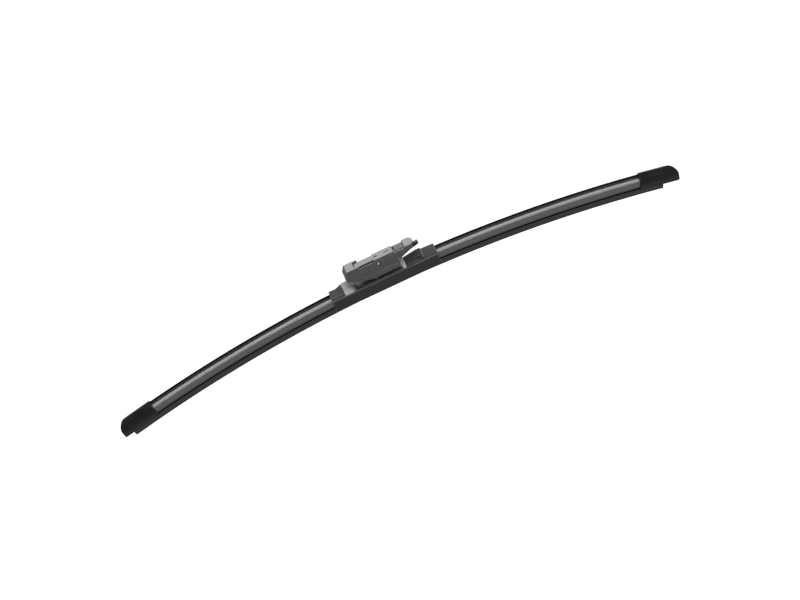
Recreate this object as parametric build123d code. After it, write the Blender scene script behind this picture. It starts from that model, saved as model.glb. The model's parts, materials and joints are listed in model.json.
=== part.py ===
from build123d import *

import os
from math import asin, atan2, cos, degrees, hypot, radians, sin

# A flat windscreen wiper blade with its clip-on arm adapter, in millimetres.
# The origin is on the hinge pin's axis. +X runs along the blade, +Y is the rear side and +Z is up.
# The blade's sections are drawn across X, as y and the height above the rails' middle plane.

# Blade as a whole
BLADE_LENGTH = 500.0
MIDDLE_FROM_PIVOT = 2.5
ARC_RADIUS = 1160.0
PIVOT_HEIGHT = 16.3

# Clearances
FIT_GAP = 0.1
RUN_GAP = 0.05

# Spring rails
RAIL_WIDTH = 4.2
RAIL_THICKNESS = 1.0
RAIL_END_RADIUS = 1.2
RAIL_SETBACK = 5.0
NOTCH_LENGTH = 4.0
NOTCH_DEPTH = 0.9

# Rubber
WEB_HALF = 0.95
HEAD_HALF = 3.6
HEAD_THICKNESS = 0.95
RUBBER_BODY_HALF = 3.6
RUBBER_BODY_HEIGHT = 2.2
NECK_HALF = 0.45
NECK_HEIGHT = 1.1
WEDGE_HALF = 2.7
WEDGE_SHOULDER = 0.8
HEEL_HALF = 1.9
HEEL_DROP = 8.7
LIP_HALF = 0.4
LIP_HEIGHT = 1.5
LIP_DROP = 11.0
RUBBER_SETBACK_LEFT = 7.5
RUBBER_SETBACK_RIGHT = 13.8

# Spoilers
FOOT_HALF = 6.0
FOOT_DROP = 1.8
WALL_LEAN = 0.5
BEAD_HEIGHT = 0.6
BEAD_STEP = 0.25
LEDGE_HEIGHT = 3.1
LEDGE_ROUND = 0.6
RIDGE_HEIGHT = 6.35
RIDGE_FRONT = 1.2
RIDGE_WIDTH = 0.45
FIN_FOOT = 4.2
FIN_LEAN = 0.2
FRONT_HOLLOW = 0.63
REAR_HOLLOW = 0.3
HOOK_REACH = 1.1

# End caps
CAP_LENGTH = 32.2
CAP_WALL = 1.0
CAP_LIP = 3.0
CAP_CROWN = 0.85
CAP_CREASE_RISE = 1.2
CAP_CREASE_ROUND = 0.4
CAP_HEM_HEIGHT = 3.1
CAP_HEM_INSET = 1.5
CAP_SOCKET = 18.0
CAP_MOUTH_SLANT = 2.0
CAP_NOSE_LENGTH = 9.2
CAP_NOSE_DROP = 9.5
CAP_NOSE_FULLNESS = 6.9
CAP_NOSE_TILT = 30.0
CAP_CHIN_RADIUS = 2.2
CAP_PLAN_RADIUS = 2.5

# Base cover
BASE_LENGTH = 94.0
BASE_HALF = 8.0
SKIRT_WALL = 1.4
SKIRT_DROP = 7.0
SKIRT_DRAFT = 0.2
SHOULDER_RISE = 2.5
SHOULDER_LAND = 1.3
SHOULDER_SLOPE = 0.35
DECK_TOP = 3.5
DECK_HALF = 5.6
SLEEVE_DEPTH = 11.5
SLEEVE_CREASE_HALF = 6.0
SLEEVE_CREASE = 4.2
SLEEVE_RIDGE_FRONT = 2.2
SLEEVE_RIDGE_REAR = 2.6
SLEEVE_RIDGE = 7.5
CREST_LENGTH = 5.4
CREST_FRONT = 8.0
CREST_REAR_Y = 4.4
CREST_REAR = 8.7
HUMP_RIDGE = 9.2
HUMP_LENGTH = 4.0
HUMP_STEP = 1.2
HUMP_KNEE_Y = 4.0
HUMP_KNEE = 3.2
HUMP_WALL_Y = 2.3
HUMP_WALL_SHARE = 0.7

# Base carrier
CARRIER_SETBACK = 0.5
CARRIER_RIGHT = 19.5
CARRIER_FLOOR = 2.5
CARRIER_RIDGE_Y = 3.8
CARRIER_RAMP_TOP = 9.3
CARRIER_RAMP_CREST = 5.5
CARRIER_RAMP_RUN = 9.0
CARRIER_RAMP_SAG = 1.0
CARRIER_POST_FOOT = 16.9
CARRIER_POST_LEAN = 0.3
CARRIER_RIB_LENGTH = 3.4
CARRIER_RIB_HALF = 3.9
CLAW_DROP = 2.3
CLAW_LENGTH = 9.0
CLAW_PITCH = 21.0
CLAW_COUNT = 3
LUG_HALF = 4.3
LUG_RADIUS = 2.9
LUG_FOOT_HALF = 6.5

# Hinge pin
PIN_RADIUS = 1.8
PIN_HALF = 5.6
PIN_CHAMFER = 0.4

# Adapter body, seen from the side
ADAPTER_HALF = 6.5
ADAPTER_WALL = 1.9
ADAPTER_FLARE = 0.7
BOW_TIP_X = -31.0
BOW_TIP_Z = -1.4
BOW_TOP_X = -26.8
BOW_RADIUS = 3.0
BOW_PLAN_RADIUS = 2.5
BLOCK_RIGHT = -15.5
BLOCK_TOP = 5.5
BLOCK_FLOOR = 2.0
LEDGE_TOP = 3.2
PLATE_TOP = 4.4
KEEL_KNEE_X = -21.5
KEEL_KNEE_Z = -7.0
KEEL_X = -5.4
KEEL_Z = -10.8
KEEL_STEP = 1.2
WALL_FOOT_Z = -10.1
WALL_RIGHT = 15.6
PAD_TOP = -5.9
UNDERCUT_Z = -3.2
UNDERCUT_X = 19.4
NOSE_LEFT = 24.2
NOSE_SHOULDER_X = 29.3
NOSE_SHOULDER_Z = 0.4
NOSE_TIP_X = 32.8
NOSE_THICKNESS = 2.3
BLOCK_ROUND = 0.8
WALL_BEVEL_WIDTH = 0.8
WALL_BEVEL_DROP = 1.0
NOSE_CHAMFER = 0.4
DIMPLE_RADIUS = 2.35
DIMPLE_DEPTH = 0.5
BRIDGE_X = 8.6
BRIDGE_THICKNESS = 2.0
BRIDGE_FOOT = -4.2

# Adapter plate
TONGUE_LEFT = -18.9
TONGUE_HALF = 4.0
TONGUE_GAP = 0.7
TONGUE_RIGHT = -2.5
PLATE_HALF = 5.4
PLATE_RIGHT = 14.8
PLATE_HOLE_LENGTH = 2.6
PLATE_HOLE_WIDTH = 1.3
PLATE_SLOT_X = 9.3
PLATE_SLOT_LENGTH = 4.0
PLATE_SLOT_WIDTH = 1.0
LEG_LENGTH = 3.0
LEG_THICKNESS = 0.8
LEG_DROP = 2.0

# Locking lever
TRUNNION_X = 12.4
TRUNNION_Z = 0.9
TRUNNION_RADIUS = 1.1
TRUNNION_DEPTH = 1.0
LEVER_BOSS = 1.8
LEVER_HALF = 4.0
LEVER_THICKNESS = 1.6
BUTTON_LEFT = 16.1
BUTTON_RIGHT = 23.9
BUTTON_TOP = 3.5
TAIL_HALF = 2.0
TAIL_KNEE_X = 28.4
TAIL_KNEE_Z = -2.6
TAIL_TIP_X = 36.4
TAIL_TIP_Z = -0.5
TAIL_THICKNESS = 2.2
TAIL_ROUND = 1.0

# Leaf spring
LEAF_THICKNESS = 0.4
LEAF_HALF = 2.0
LEAF_ROOT_Z = -2.2
LEAF_TIP_X = 21.0

# Values worked out from those above
BEYOND = 2 * BASE_LENGTH
LEFT_TIP = MIDDLE_FROM_PIVOT - BLADE_LENGTH / 2
RIGHT_TIP = MIDDLE_FROM_PIVOT + BLADE_LENGTH / 2
ARC_AXIS = Axis((0, 0, -PIVOT_HEIGHT - ARC_RADIUS), (0, 1, 0))
ACROSS = Plane(origin=(0, 0, -PIVOT_HEIGHT), x_dir=(0, 1, 0), z_dir=(1, 0, 0))
ALONG = Plane(origin=(0, 0, -PIVOT_HEIGHT), x_dir=(1, 0, 0), z_dir=(0, -1, 0))
GROOVE_HALF = RAIL_THICKNESS / 2 + FIT_GAP
RAIL_INNER = WEB_HALF + FIT_GAP
RAIL_OUTER = RAIL_INNER + RAIL_WIDTH
HEAD_TOP = GROOVE_HALF + HEAD_THICKNESS
THROAT_HALF = RAIL_OUTER - HOOK_REACH
RIDGE_REAR = RIDGE_FRONT + FIN_LEAN + RIDGE_WIDTH
CAP_RIDGE_REAR = RIDGE_REAR + CAP_WALL / 2
SKIRT_INNER = BASE_HALF - SKIRT_WALL
CARRIER_HALF = SKIRT_INNER - FIT_GAP
BASE_END = BASE_LENGTH / 2
SOCKET_END = BASE_END - SLEEVE_DEPTH
SHOULDER_HALF = BASE_HALF - SKIRT_DRAFT
LAND_INNER = SHOULDER_HALF - SHOULDER_LAND
RIM = SHOULDER_RISE + SHOULDER_SLOPE
CARRIER_LEFT = CARRIER_SETBACK - SOCKET_END
RAMP_CREST_X = CARRIER_LEFT + CARRIER_RAMP_CREST
RAMP_FOOT_X = RAMP_CREST_X + CARRIER_RAMP_RUN
WINDOW_LEFT = CARRIER_LEFT - FIT_GAP
WINDOW_RIGHT = CARRIER_RIGHT + FIT_GAP
CAVITY_HALF = ADAPTER_HALF - ADAPTER_WALL
FLARED_HALF = ADAPTER_HALF + ADAPTER_FLARE
LEVER_TOP = PLATE_TOP - NOSE_THICKNESS - FIT_GAP
LEVER_FOOT = LEVER_TOP - LEVER_THICKNESS


def rounded(outline: Sketch, rounds: dict) -> Sketch:
    """An outline with a radius on each corner that rounds names by its place."""
    for corner, radius in rounds.items():
        outline = fillet(outline.vertices().sort_by_distance((*corner, 0))[0], radius)
    return outline


def polygon(plane: Plane, points: list, rounds: dict | None = None) -> Sketch:
    """A closed outline on a plane, with a radius on the corners that rounds names by place."""
    return plane * rounded(make_face(Polyline(*points, close=True)), rounds or {})


def prism(outline: Sketch, half: float) -> Part:
    """An outline given its depth to both sides of its plane."""
    normal = outline.faces()[0].normal_at()
    return extrude(outline.moved(Location(normal * -half)), 2 * half, dir=normal)


def block(x0: float, x1: float, half: float, z0: float, z1: float) -> Part:
    """A block between two stations, two heights and two sides."""
    place = Pos((x0 + x1) / 2, 0, (z0 + z1) / 2)
    return place * Box(x1 - x0, 2 * half, z1 - z0)


def crosswise(radius: float, half: float, x: float = 0, z: float = 0) -> Part:
    """A round bar or bore across the blade."""
    return Pos(x, 0, z) * Rot(90, 0, 0) * Cylinder(radius, 2 * half)


def across_at(x: float) -> Plane:
    """The plane across the blade at a place along it, level with the rails."""
    return Plane(origin=(x, 0, -PIVOT_HEIGHT), x_dir=(0, 1, 0), z_dir=(1, 0, 0))


def station(x: float) -> float:
    """The angle, about the arc's centre, of a place along the blade."""
    return degrees(asin(x / ARC_RADIUS))


def cap_turn(tip: float) -> float:
    """How far a cap that was made at the middle of the arc turns to reach the blade's tip."""
    reach = asin(abs(tip) / hypot(ARC_RADIUS, CAP_LENGTH / 2))
    return degrees(reach - atan2(CAP_LENGTH / 2, ARC_RADIUS))


def from_tip(tip: float, setback: float) -> float:
    """The angle of a place that lies a distance inside a tip."""
    angle = cap_turn(tip) + station(CAP_LENGTH / 2 - setback)
    return angle if tip > 0 else -angle


def along_arc(section: Sketch, start: float, end: float) -> Part:
    """A section that follows the blade's arc from one angle to another."""
    placed = (ACROSS * section).rotate(ARC_AXIS, start)
    return revolve(placed, axis=ARC_AXIS, revolution_arc=end - start)


def strip(half: float, low: float, high: float) -> Sketch:
    """A rectangle across the blade, even about its middle."""
    return Pos(0, (low + high) / 2) * Rectangle(2 * half, high - low)


def rail_channel(below: float) -> Sketch:
    """The room that the rails and the rubber need in what grips them, open below."""
    rails = strip(RAIL_OUTER + FIT_GAP, -GROOVE_HALF, GROOVE_HALF)
    head = strip(HEAD_HALF + FIT_GAP, 0, HEAD_TOP + FIT_GAP)
    throat = strip(THROAT_HALF, -below, 0)
    return rails + head + throat


def rubber_section() -> Sketch:
    """Head, grooves for the rails, tilting neck, wedge and thin lip."""
    body_foot = -GROOVE_HALF - RUBBER_BODY_HEIGHT
    wedge_top = body_foot - NECK_HEIGHT
    right = [
        (HEAD_HALF, HEAD_TOP),
        (HEAD_HALF, GROOVE_HALF),
        (WEB_HALF, GROOVE_HALF),
        (WEB_HALF, -GROOVE_HALF),
        (RUBBER_BODY_HALF, -GROOVE_HALF),
        (RUBBER_BODY_HALF, body_foot),
        (NECK_HALF, body_foot),
        (NECK_HALF, wedge_top),
        (WEDGE_HALF, wedge_top),
        (WEDGE_HALF, wedge_top - WEDGE_SHOULDER),
        (HEEL_HALF, -HEEL_DROP),
        (LIP_HALF, LIP_HEIGHT - LIP_DROP),
        (LIP_HALF, -LIP_DROP),
    ]
    left = [(-y, height) for y, height in reversed(right)]
    return make_face(Polyline(*right, *left, close=True))


def spoiler_outline() -> Sketch:
    """Beaded foot, leaning walls, a hollow front face up to an upright fin, and a flatter rear face."""
    wall_top = FOOT_HALF - WALL_LEAN
    bead_top = BEAD_HEIGHT - FOOT_DROP
    front_ledge = (-wall_top, LEDGE_HEIGHT)
    fin_foot = (RIDGE_FRONT, FIN_FOOT)
    front_ridge = (RIDGE_FRONT + FIN_LEAN, RIDGE_HEIGHT)
    rear_ridge = (RIDGE_REAR, RIDGE_HEIGHT)
    rear_ledge = (wall_top, LEDGE_HEIGHT)
    foot = Polyline(
        rear_ledge,
        (FOOT_HALF - BEAD_STEP, bead_top + BEAD_STEP),
        (FOOT_HALF, bead_top),
        (FOOT_HALF, -FOOT_DROP),
        (-FOOT_HALF, -FOOT_DROP),
        (-FOOT_HALF, bead_top),
        (BEAD_STEP - FOOT_HALF, bead_top + BEAD_STEP),
        front_ledge,
    )
    front = SagittaArc(front_ledge, fin_foot, -FRONT_HOLLOW)
    fin = Polyline(fin_foot, front_ridge, rear_ridge)
    rear = SagittaArc(rear_ridge, rear_ledge, -REAR_HOLLOW)
    outline = make_face([*foot.edges(), front, *fin.edges(), rear])
    return rounded(outline, {front_ledge: LEDGE_ROUND, rear_ledge: LEDGE_ROUND})


def cap_outline() -> Sketch:
    """A cap's own section: tucked-in hem, upright walls, creases and a straight roof up to the ridge."""
    half = FOOT_HALF + CAP_WALL
    foot = -FOOT_DROP - CAP_LIP
    crease = LEDGE_HEIGHT + CAP_CREASE_RISE
    crease_half = FOOT_HALF - WALL_LEAN
    ridge = RIDGE_HEIGHT + CAP_CROWN
    points = [
        (CAP_HEM_INSET - half, foot),
        (-half, foot + CAP_HEM_HEIGHT),
        (-half, 0),
        (-crease_half, crease),
        (RIDGE_FRONT, ridge),
        (CAP_RIDGE_REAR, ridge),
        (crease_half, crease),
        (half, 0),
        (half, foot + CAP_HEM_HEIGHT),
        (half - CAP_HEM_INSET, foot),
    ]
    outline = make_face(Polyline(*points, close=True))
    return fillet(outline.vertices(), CAP_CREASE_ROUND)


def cap_side() -> Sketch:
    """A cap from the side: slanted mouth and a round chin."""
    foot = -FOOT_DROP - CAP_LIP
    top = RIDGE_HEIGHT + CAP_CROWN
    half = CAP_LENGTH / 2
    chin = (half, foot)
    points = [(-half - CAP_MOUTH_SLANT, foot), (-half, top), (half, top), chin]
    return polygon(ALONG, points, {chin: CAP_CHIN_RADIUS})


def cap_nose() -> Sketch:
    """The nose's long round, drawn square to a line that falls towards the rear side."""
    tilt = radians(CAP_NOSE_TILT)
    tilted = Plane(origin=ALONG.origin, x_dir=(1, 0, 0), z_dir=(0, -cos(tilt), sin(tilt)))
    tip = CAP_LENGTH / 2
    crown = (RIDGE_HEIGHT + CAP_CROWN) * cos(tilt) + CAP_RIDGE_REAR * sin(tilt)
    start = (tip - CAP_NOSE_LENGTH, crown)
    end = (tip, crown - CAP_NOSE_DROP)
    nose = Bezier(start, (start[0] + CAP_NOSE_FULLNESS, crown), end)
    rest = Polyline(end, (tip, -BEYOND), (-BEYOND, -BEYOND), (-BEYOND, crown), start)
    return tilted * make_face([nose, *rest.edges()])


def end_cap(rubber_setback: float) -> Part:
    """A cap with its nose towards +X, made at the middle of the arc."""
    half_length = CAP_LENGTH / 2
    body = prism(ACROSS * cap_outline(), BEYOND)
    body &= prism(cap_side(), BEYOND)
    body &= prism(cap_nose(), BEYOND)
    plan = Pos(half_length - BEYOND / 2, 0) * Rectangle(BEYOND, 2 * (FOOT_HALF + CAP_WALL))
    nose_corners = plan.vertices().group_by(Axis.X)[-1]
    plan = fillet(nose_corners, CAP_PLAN_RADIUS)
    body &= prism(plan, BEYOND)
    mouth = station(-CAP_LENGTH)
    socket = offset(spoiler_outline(), FIT_GAP, kind=Kind.INTERSECTION)
    body -= along_arc(socket, mouth, station(CAP_SOCKET - half_length))
    rails = strip(RAIL_OUTER + FIT_GAP, -GROOVE_HALF, GROOVE_HALF)
    body -= along_arc(rails, mouth, station(half_length - RAIL_SETBACK + FIT_GAP))
    rubber_room = strip(THROAT_HALF, -LIP_DROP, HEAD_TOP + FIT_GAP)
    return body - along_arc(rubber_room, mouth, station(half_length - rubber_setback + FIT_GAP))


def wiper_rubber() -> Part:
    """The squeegee, from cap to cap."""
    start = from_tip(LEFT_TIP, RUBBER_SETBACK_LEFT)
    return along_arc(rubber_section(), start, from_tip(RIGHT_TIP, RUBBER_SETBACK_RIGHT))


def spring_rail(side: int) -> Part:
    """A spring strip with rounded ends and a notch for the carrier's key."""
    middle = side * (RAIL_INNER + RAIL_OUTER) / 2
    section = Pos(middle, 0) * Rectangle(RAIL_WIDTH, RAIL_THICKNESS)
    rail = along_arc(section, from_tip(LEFT_TIP, RAIL_SETBACK), from_tip(RIGHT_TIP, RAIL_SETBACK))
    ends = rail.faces().sort_by(Axis.X)
    corners = [edge for end in (ends[0], ends[-1]) for edge in end.edges().sort_by(SortBy.LENGTH)[:2]]
    rail = fillet(corners, RAIL_END_RADIUS)
    notch = Box(NOTCH_LENGTH, 2 * NOTCH_DEPTH, BEYOND)
    return rail - Pos(0, side * RAIL_OUTER, -PIVOT_HEIGHT) * notch


def spoiler(side: int) -> Part:
    """A spoiler, from the cap's socket to the cover's sleeve."""
    section = spoiler_outline() - rail_channel(BEYOND)
    tip = RIGHT_TIP if side > 0 else LEFT_TIP
    ends = [from_tip(tip, CAP_LENGTH - CAP_SOCKET + FIT_GAP), side * station(SOCKET_END + FIT_GAP)]
    return along_arc(section, min(ends), max(ends))


def cover_skirts() -> Sketch:
    """The cover across the blade, up to its rim: drafted skirts, each with a sloped land on top."""
    right = [(LAND_INNER, RIM), (SHOULDER_HALF, SHOULDER_RISE), (BASE_HALF, -SKIRT_DROP)]
    left = [(-y, height) for y, height in reversed(right)]
    return polygon(ACROSS, right + left)


def cover_deck() -> Part:
    """The low deck over the carrier's floor, between its ramp and its post."""
    left = RAMP_FOOT_X + FIT_GAP
    foot = CARRIER_FLOOR + FIT_GAP
    right_half = [(LAND_INNER, foot), (LAND_INNER, RIM), (DECK_HALF, DECK_TOP)]
    left_half = [(-y, height) for y, height in reversed(right_half)]
    outline = polygon(across_at(left), right_half + left_half)
    return extrude(outline, CARRIER_POST_FOOT - FIT_GAP - left)


def sleeve_front(ridge: float) -> list:
    """The front of an arm that holds a spoiler: an upright wall, a crease and the roof up to its ridge."""
    knee = ((LAND_INNER + SLEEVE_CREASE_HALF) / 2, (RIM + SLEEVE_CREASE) / 2)
    return [(-knee[0], knee[1]), (-SLEEVE_CREASE_HALF, SLEEVE_CREASE), (SLEEVE_RIDGE_FRONT, ridge)]


def hump_front(ridge: float) -> list:
    """The front of the hump: a wide ledge, a wall set back from it and the roof up to its ridge."""
    wall = (-HUMP_WALL_Y, ridge * HUMP_WALL_SHARE)
    return [(-HUMP_KNEE_Y, HUMP_KNEE), wall, (SLEEVE_RIDGE_FRONT, ridge)]


def arm_section(x: float, front: list, rear_ridge: tuple) -> Sketch:
    """An arm of the cover at a place along the blade, from its front and the rear edge of its ridge."""
    foot = [(-LAND_INNER, 0), (-LAND_INNER, RIM)]
    rear = [rear_ridge, (SLEEVE_CREASE_HALF, SLEEVE_CREASE), (LAND_INNER, RIM), (LAND_INNER, 0)]
    return polygon(across_at(x), foot + front + rear)


def left_arm() -> Part:
    """The left arm: a sleeve whose ridge rises and widens towards the carrier."""
    ridge = (SLEEVE_RIDGE_REAR, SLEEVE_RIDGE)
    plain = sleeve_front(SLEEVE_RIDGE)
    end = arm_section(-BASE_END, plain, ridge)
    crest_start = arm_section(WINDOW_LEFT - CREST_LENGTH, plain, ridge)
    crest = arm_section(WINDOW_LEFT, sleeve_front(CREST_FRONT), (CREST_REAR_Y, CREST_REAR))
    return loft([end, crest_start], ruled=True) + loft([crest_start, crest], ruled=True)


def right_arm() -> Part:
    """The right arm: a hump that rises from the carrier's post, and a sleeve a step below it."""
    low = (SLEEVE_RIDGE_REAR, SLEEVE_RIDGE)
    high = (SLEEVE_RIDGE_REAR, HUMP_RIDGE)
    stepped = HUMP_RIDGE - HUMP_STEP
    rise = arm_section(WINDOW_RIGHT, hump_front(SLEEVE_RIDGE), low)
    hump = arm_section(SOCKET_END - HUMP_LENGTH, hump_front(HUMP_RIDGE), high)
    hump_end = arm_section(SOCKET_END, sleeve_front(HUMP_RIDGE), high)
    step = arm_section(SOCKET_END, sleeve_front(stepped), (SLEEVE_RIDGE_REAR, stepped))
    end = arm_section(BASE_END, sleeve_front(SLEEVE_RIDGE), low)
    arm = loft([rise, hump], ruled=True)
    arm += loft([hump, hump_end], ruled=True)
    return arm + loft([step, end], ruled=True)


def base_cover() -> Part:
    """Skirts, deck and two arms, with openings for the carrier's ramp, lug and post."""
    cover = prism(cover_skirts(), BASE_END) + cover_deck()
    cover += left_arm()
    cover += right_arm()
    ceiling = HEAD_TOP + FIT_GAP - PIVOT_HEIGHT
    deck_foot = CARRIER_FLOOR + FIT_GAP - PIVOT_HEIGHT
    lug_half = LUG_FOOT_HALF + FIT_GAP
    cover -= block(-BEYOND, BEYOND, SKIRT_INNER, -BEYOND, ceiling)
    cover -= block(WINDOW_LEFT, WINDOW_RIGHT, SKIRT_INNER, ceiling, deck_foot)
    cover -= block(WINDOW_LEFT, RAMP_FOOT_X + FIT_GAP, SKIRT_INNER, ceiling, BEYOND)
    cover -= block(CARRIER_POST_FOOT - FIT_GAP, WINDOW_RIGHT, SKIRT_INNER, ceiling, BEYOND)
    cover -= block(-lug_half, lug_half, LUG_HALF + FIT_GAP, ceiling, BEYOND)
    rib_left = CARRIER_POST_FOOT - CARRIER_RIB_LENGTH - FIT_GAP
    cover -= block(rib_left, CARRIER_POST_FOOT, CARRIER_RIB_HALF + FIT_GAP, ceiling, BEYOND)
    socket = offset(spoiler_outline(), FIT_GAP, kind=Kind.INTERSECTION)
    cover -= along_arc(socket, station(SOCKET_END), station(BASE_LENGTH))
    return cover - along_arc(socket, station(-BASE_LENGTH), station(-SOCKET_END))


def carrier_roof() -> Sketch:
    """The carrier across the blade: a roof that rises towards the rear."""
    points = [
        (-CARRIER_HALF, -CLAW_DROP),
        (-CARRIER_HALF, RIM),
        (CARRIER_RIDGE_Y, CARRIER_RAMP_TOP),
        (CARRIER_HALF, RIM),
        (CARRIER_HALF, -CLAW_DROP),
    ]
    return polygon(ACROSS, points)


def carrier_side() -> Sketch:
    """The carrier from the side: a ramp at the left, a flat floor and a leaning post at the right."""
    ramp_top = (RAMP_CREST_X, CARRIER_RAMP_TOP)
    ramp_foot = (RAMP_FOOT_X, CARRIER_FLOOR)
    post_foot = (CARRIER_POST_FOOT, CARRIER_FLOOR)
    post_top = (CARRIER_POST_FOOT + CARRIER_POST_LEAN, CARRIER_RAMP_TOP)
    ramp = SagittaArc(ramp_top, ramp_foot, -CARRIER_RAMP_SAG)
    rest = Polyline(
        ramp_foot,
        post_foot,
        post_top,
        (CARRIER_RIGHT, CARRIER_RAMP_TOP),
        (CARRIER_RIGHT, -CLAW_DROP),
        (CARRIER_LEFT, -CLAW_DROP),
        (CARRIER_LEFT, CARRIER_RAMP_TOP),
        ramp_top,
    )
    return ALONG * make_face([ramp, *rest.edges()])


def carrier_lug() -> Part:
    """The bearing lug: a round head on the pin's axis and a foot that spreads to the floor."""
    floor = CARRIER_FLOOR - PIVOT_HEIGHT
    foot = [(-LUG_FOOT_HALF, floor), (LUG_FOOT_HALF, floor), (LUG_RADIUS, 0), (-LUG_RADIUS, 0)]
    head = Plane.XZ * Circle(LUG_RADIUS)
    return prism(polygon(Plane.XZ, foot), LUG_HALF) + prism(head, LUG_HALF)


def carrier_rib() -> Part:
    """The rib that stays the post, between the adapter's walls."""
    left = CARRIER_POST_FOOT - CARRIER_RIB_LENGTH
    right = CARRIER_POST_FOOT + CARRIER_POST_LEAN
    points = [
        (left, CARRIER_FLOOR),
        (right, CARRIER_FLOOR),
        (right, CARRIER_RAMP_TOP),
        (CARRIER_POST_FOOT - CARRIER_RIB_LENGTH / 2, CARRIER_RAMP_TOP),
    ]
    return prism(polygon(ALONG, points), CARRIER_RIB_HALF) & prism(carrier_roof(), BEYOND)


def base_carrier() -> Part:
    """The moulding that grips the rails with its claws and holds the hinge pin."""
    carrier = prism(carrier_roof(), BEYOND) & prism(carrier_side(), BEYOND)
    carrier += carrier_lug() + carrier_rib()
    carrier -= along_arc(rail_channel(LIP_DROP), station(-BASE_LENGTH), station(BASE_LENGTH))
    rail_z = -PIVOT_HEIGHT
    claws = [(index - (CLAW_COUNT - 1) / 2) * CLAW_PITCH for index in range(CLAW_COUNT)]
    middle = (CARRIER_LEFT + CARRIER_RIGHT) / 2
    edges = [-BEYOND]
    for offset_x in claws:
        edges += [middle + offset_x - CLAW_LENGTH / 2, middle + offset_x + CLAW_LENGTH / 2]
    edges.append(BEYOND)
    for start, end in zip(edges[::2], edges[1::2]):
        carrier -= block(start, end, BASE_HALF, -BEYOND, rail_z + GROOVE_HALF)
    key_inner = RAIL_OUTER - NOTCH_DEPTH + FIT_GAP
    key = Box(NOTCH_LENGTH - 2 * FIT_GAP, CARRIER_HALF - key_inner, 2 * GROOVE_HALF)
    key_y = (CARRIER_HALF + key_inner) / 2
    for side in (-1, 1):
        carrier += Pos(0, side * key_y, rail_z) * key
    return carrier - crosswise(PIN_RADIUS, BEYOND)


def hinge_pin() -> Part:
    """A steel pin with chamfered ends."""
    pin = crosswise(PIN_RADIUS, PIN_HALF)
    rims = pin.edges().filter_by(GeomType.CIRCLE)
    return chamfer(rims, PIN_CHAMFER)


def adapter_side() -> Sketch:
    """The adapter body from the side: raised bow block, ledge for the plate, and the nose."""
    points = [
        (BOW_TOP_X, BLOCK_TOP),
        (BOW_TIP_X, BOW_TIP_Z),
        (KEEL_KNEE_X, KEEL_KNEE_Z),
        (KEEL_X, KEEL_Z),
        (KEEL_X + KEEL_STEP, WALL_FOOT_Z),
        (WALL_RIGHT, WALL_FOOT_Z),
        (WALL_RIGHT, UNDERCUT_Z),
        (UNDERCUT_X, UNDERCUT_Z),
        (NOSE_SHOULDER_X, NOSE_SHOULDER_Z),
        (NOSE_TIP_X, PLATE_TOP - NOSE_THICKNESS),
        (NOSE_TIP_X, PLATE_TOP),
        (NOSE_LEFT, PLATE_TOP),
        (NOSE_LEFT, LEDGE_TOP),
        (BLOCK_RIGHT, LEDGE_TOP),
        (BLOCK_RIGHT, BLOCK_TOP),
    ]
    return polygon(Plane.XZ, points, {(BOW_TIP_X, BOW_TIP_Z): BOW_RADIUS})


def adapter_plan() -> Sketch:
    """The adapter body from above: rounded bow corners and a round nose."""
    shoulder_front = (NOSE_SHOULDER_X, -FLARED_HALF)
    shoulder_rear = (NOSE_SHOULDER_X, FLARED_HALF)
    sides = Polyline(shoulder_rear, (BOW_TIP_X, FLARED_HALF), (BOW_TIP_X, -FLARED_HALF), shoulder_front)
    nose = ThreePointArc(shoulder_front, (NOSE_TIP_X, 0), shoulder_rear)
    plan = make_face([*sides.edges(), nose])
    return fillet(plan.vertices().group_by(Axis.X)[0], BOW_PLAN_RADIUS)


def adapter_cavity() -> Sketch:
    """The room between the adapter's walls, open below and along the plate and the button."""
    nose_underside = PLATE_TOP - NOSE_THICKNESS
    points = [
        (BOW_TOP_X + ADAPTER_WALL, BLOCK_FLOOR),
        (BOW_TIP_X + 2 * ADAPTER_WALL, BOW_TIP_Z),
        (KEEL_KNEE_X, KEEL_KNEE_Z + ADAPTER_WALL),
        (KEEL_KNEE_X, -BEYOND),
        (BEYOND, -BEYOND),
        (BEYOND, nose_underside),
        (NOSE_LEFT, nose_underside),
        (NOSE_LEFT, BLOCK_TOP),
        (BLOCK_RIGHT, BLOCK_TOP),
        (BLOCK_RIGHT, BLOCK_FLOOR),
    ]
    return polygon(Plane.XZ, points)


def side_recess(side: int) -> Part:
    """The shallow panel in a side wall, between the ledge and the sloped pad below."""
    slope_foot = PAD_TOP - ADAPTER_FLARE
    points = [
        (side * ADAPTER_HALF, BEYOND),
        (side * ADAPTER_HALF, PAD_TOP),
        (side * FLARED_HALF, slope_foot),
        (side * BEYOND, slope_foot),
        (side * BEYOND, BEYOND),
    ]
    across = Plane(origin=(BLOCK_RIGHT, 0, 0), x_dir=(0, 1, 0), z_dir=(1, 0, 0))
    return extrude(polygon(across, points), BEYOND)


def wall_bevel(side: int) -> Part:
    """What the bevel on a wall's top outer edge takes away, between the block and the nose."""
    inner = ADAPTER_HALF - 2 * WALL_BEVEL_WIDTH
    outer = ADAPTER_HALF + WALL_BEVEL_WIDTH
    top = LEDGE_TOP + WALL_BEVEL_DROP
    foot = LEDGE_TOP - 2 * WALL_BEVEL_DROP
    points = [(side * inner, top), (side * outer, foot), (side * outer, top)]
    across = Plane(origin=(BLOCK_RIGHT, 0, 0), x_dir=(0, 1, 0), z_dir=(1, 0, 0))
    return extrude(polygon(across, points), NOSE_LEFT - BLOCK_RIGHT)


def top_edges(body: Part, height: float) -> ShapeList:
    """The edges round the flat top at a height."""
    level = body.faces().filter_by(Plane.XY).filter_by_position(Axis.Z, height - FIT_GAP, height + FIT_GAP)
    return level.edges()


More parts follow.
